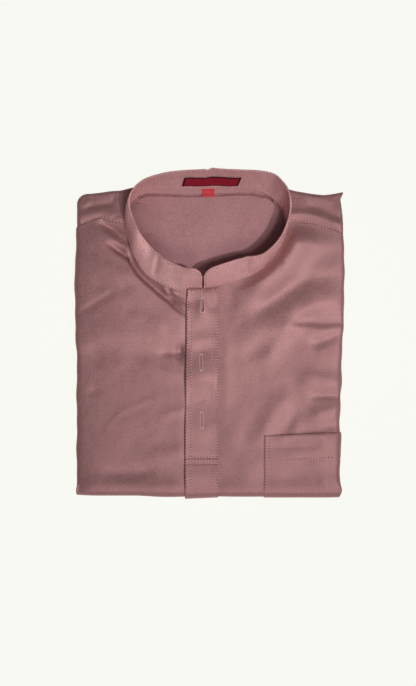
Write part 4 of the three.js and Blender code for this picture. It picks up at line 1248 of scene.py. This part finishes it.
def floor():
    shader = Shader("floor")
    glow = shader.node("ShaderNodeEmission", {}, {"Color": FLOOR_COLOUR, "Strength": FLOOR_GLOW})
    matt = shader.node("ShaderNodeBsdfDiffuse", {}, {"Color": (0.75, 0.75, 0.72, 1)})
    both = shader.node("ShaderNodeMixShader", {}, {0: 0.04, 1: glow, 2: matt})
    shader.node("ShaderNodeOutputMaterial", {}, {"Surface": both})
    bpy.ops.object.select_all(action="DESELECT")
    bpy.ops.mesh.primitive_plane_add(size=6, location=(0, 0, -0.0003))
    plane = bpy.context.active_object
    plane.name = "floor"
    plane.data.materials.append(shader.material)


def put_in_scene(name, data):
    made = bpy.data.objects.new(name, data)
    bpy.context.scene.collection.objects.link(made)
    return made


def lamp(name, kind, direction, distance, size, watts):
    """A lamp of the given kind, that far from the shirt and turned towards it."""
    direction = Vector(direction)
    light = bpy.data.lights.new(name, kind)
    light.energy = watts
    placed = put_in_scene(name, light)
    placed.location = direction.normalized() * distance
    placed.rotation_mode = "QUATERNION"
    placed.rotation_quaternion = direction.to_track_quat("Z", "Y")
    if kind == "AREA":
        light.shape = "DISK"
        light.size = size
    else:
        light.shadow_soft_size = size / 2
        light.spot_size = 2 * math.atan(KEY_REACH / distance)
        light.spot_blend = 1.0
        placed.location += Vector(KEY_AIM)


def room():
    world = bpy.data.worlds.new("room")
    world.use_nodes = True
    background = world.node_tree.nodes["Background"]
    background.inputs["Color"].default_value = ROOM_COLOUR
    background.inputs["Strength"].default_value = ROOM_LIGHT
    bpy.context.scene.world = world


def camera():
    data = bpy.data.cameras.new("camera")
    data.lens = LENS
    data.sensor_width = SENSOR
    eye = put_in_scene("camera", data)
    eye.location = ((CAMERA_PLACE[0] + SHIFT[0]) * MM, (CAMERA_PLACE[1] + SHIFT[1]) * MM, CAMERA_HEIGHT)
    bpy.context.scene.camera = eye
    bpy.context.scene.view_settings.view_transform = "Standard"


# Make everything
def dress(piece, material, slot, *nodes):
    if material:
        piece.data.materials.clear()
        piece.data.materials.append(material)
    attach(piece, "root")
    if nodes:
        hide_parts(*nodes)
    return piece


def make_shirt():
    cloth = satin("satin", ROSE)
    wrong_side = satin("satin_wrong_side", WRONG_SIDE_ROSE, 0.2)
    front = dress(front_panel(), cloth, "satin", "front")
    back = dress(back_panel(cloth, wrong_side), None, "satin", "back")
    # The band's lighter colour is painted sheen, not a different cloth
    collar = dress(collar_band(), satin("band_satin_painted_sheen", SHEEN_LIT_BAND_ROSE), "satin", "collar")
    placket = placket_band()
    cut_buttonholes(placket)
    dress(placket, cloth, "satin", "placket")
    under = dress(under_placket(), cloth, "satin", "under_placket")
    pocket = dress(patch_pocket(), cloth, "satin", "pocket")
    label = dress(neck_label(), label_cloth(), "label_cloth", "neck_label")
    tab = dress(size_tab(), tab_cloth(), "tab_cloth", "size_tab")
    layers = dress(folded_layers(), cloth, "satin", "folded_layers")
    thread = thread_cloth("thread", THREAD)
    # The dark dots between stitches carry painted shade of each needle hole
    hole = thread_cloth("needle_hole_shade", NEEDLE_HOLE_SHADE)
    for stitches, hole_shades in (collar_sewing(), placket_sewing(), pocket_sewing(), shoulder_sewing()):
        dress(stitches, thread, "thread")
        dress(hole_shades, hole, "thread")
    dress(buttonhole_sewing(), thread_cloth("pale_thread", PALE_THREAD), "thread")


camera()
room()
for row in LAMPS:
    lamp(**row)
floor()
make_shirt()
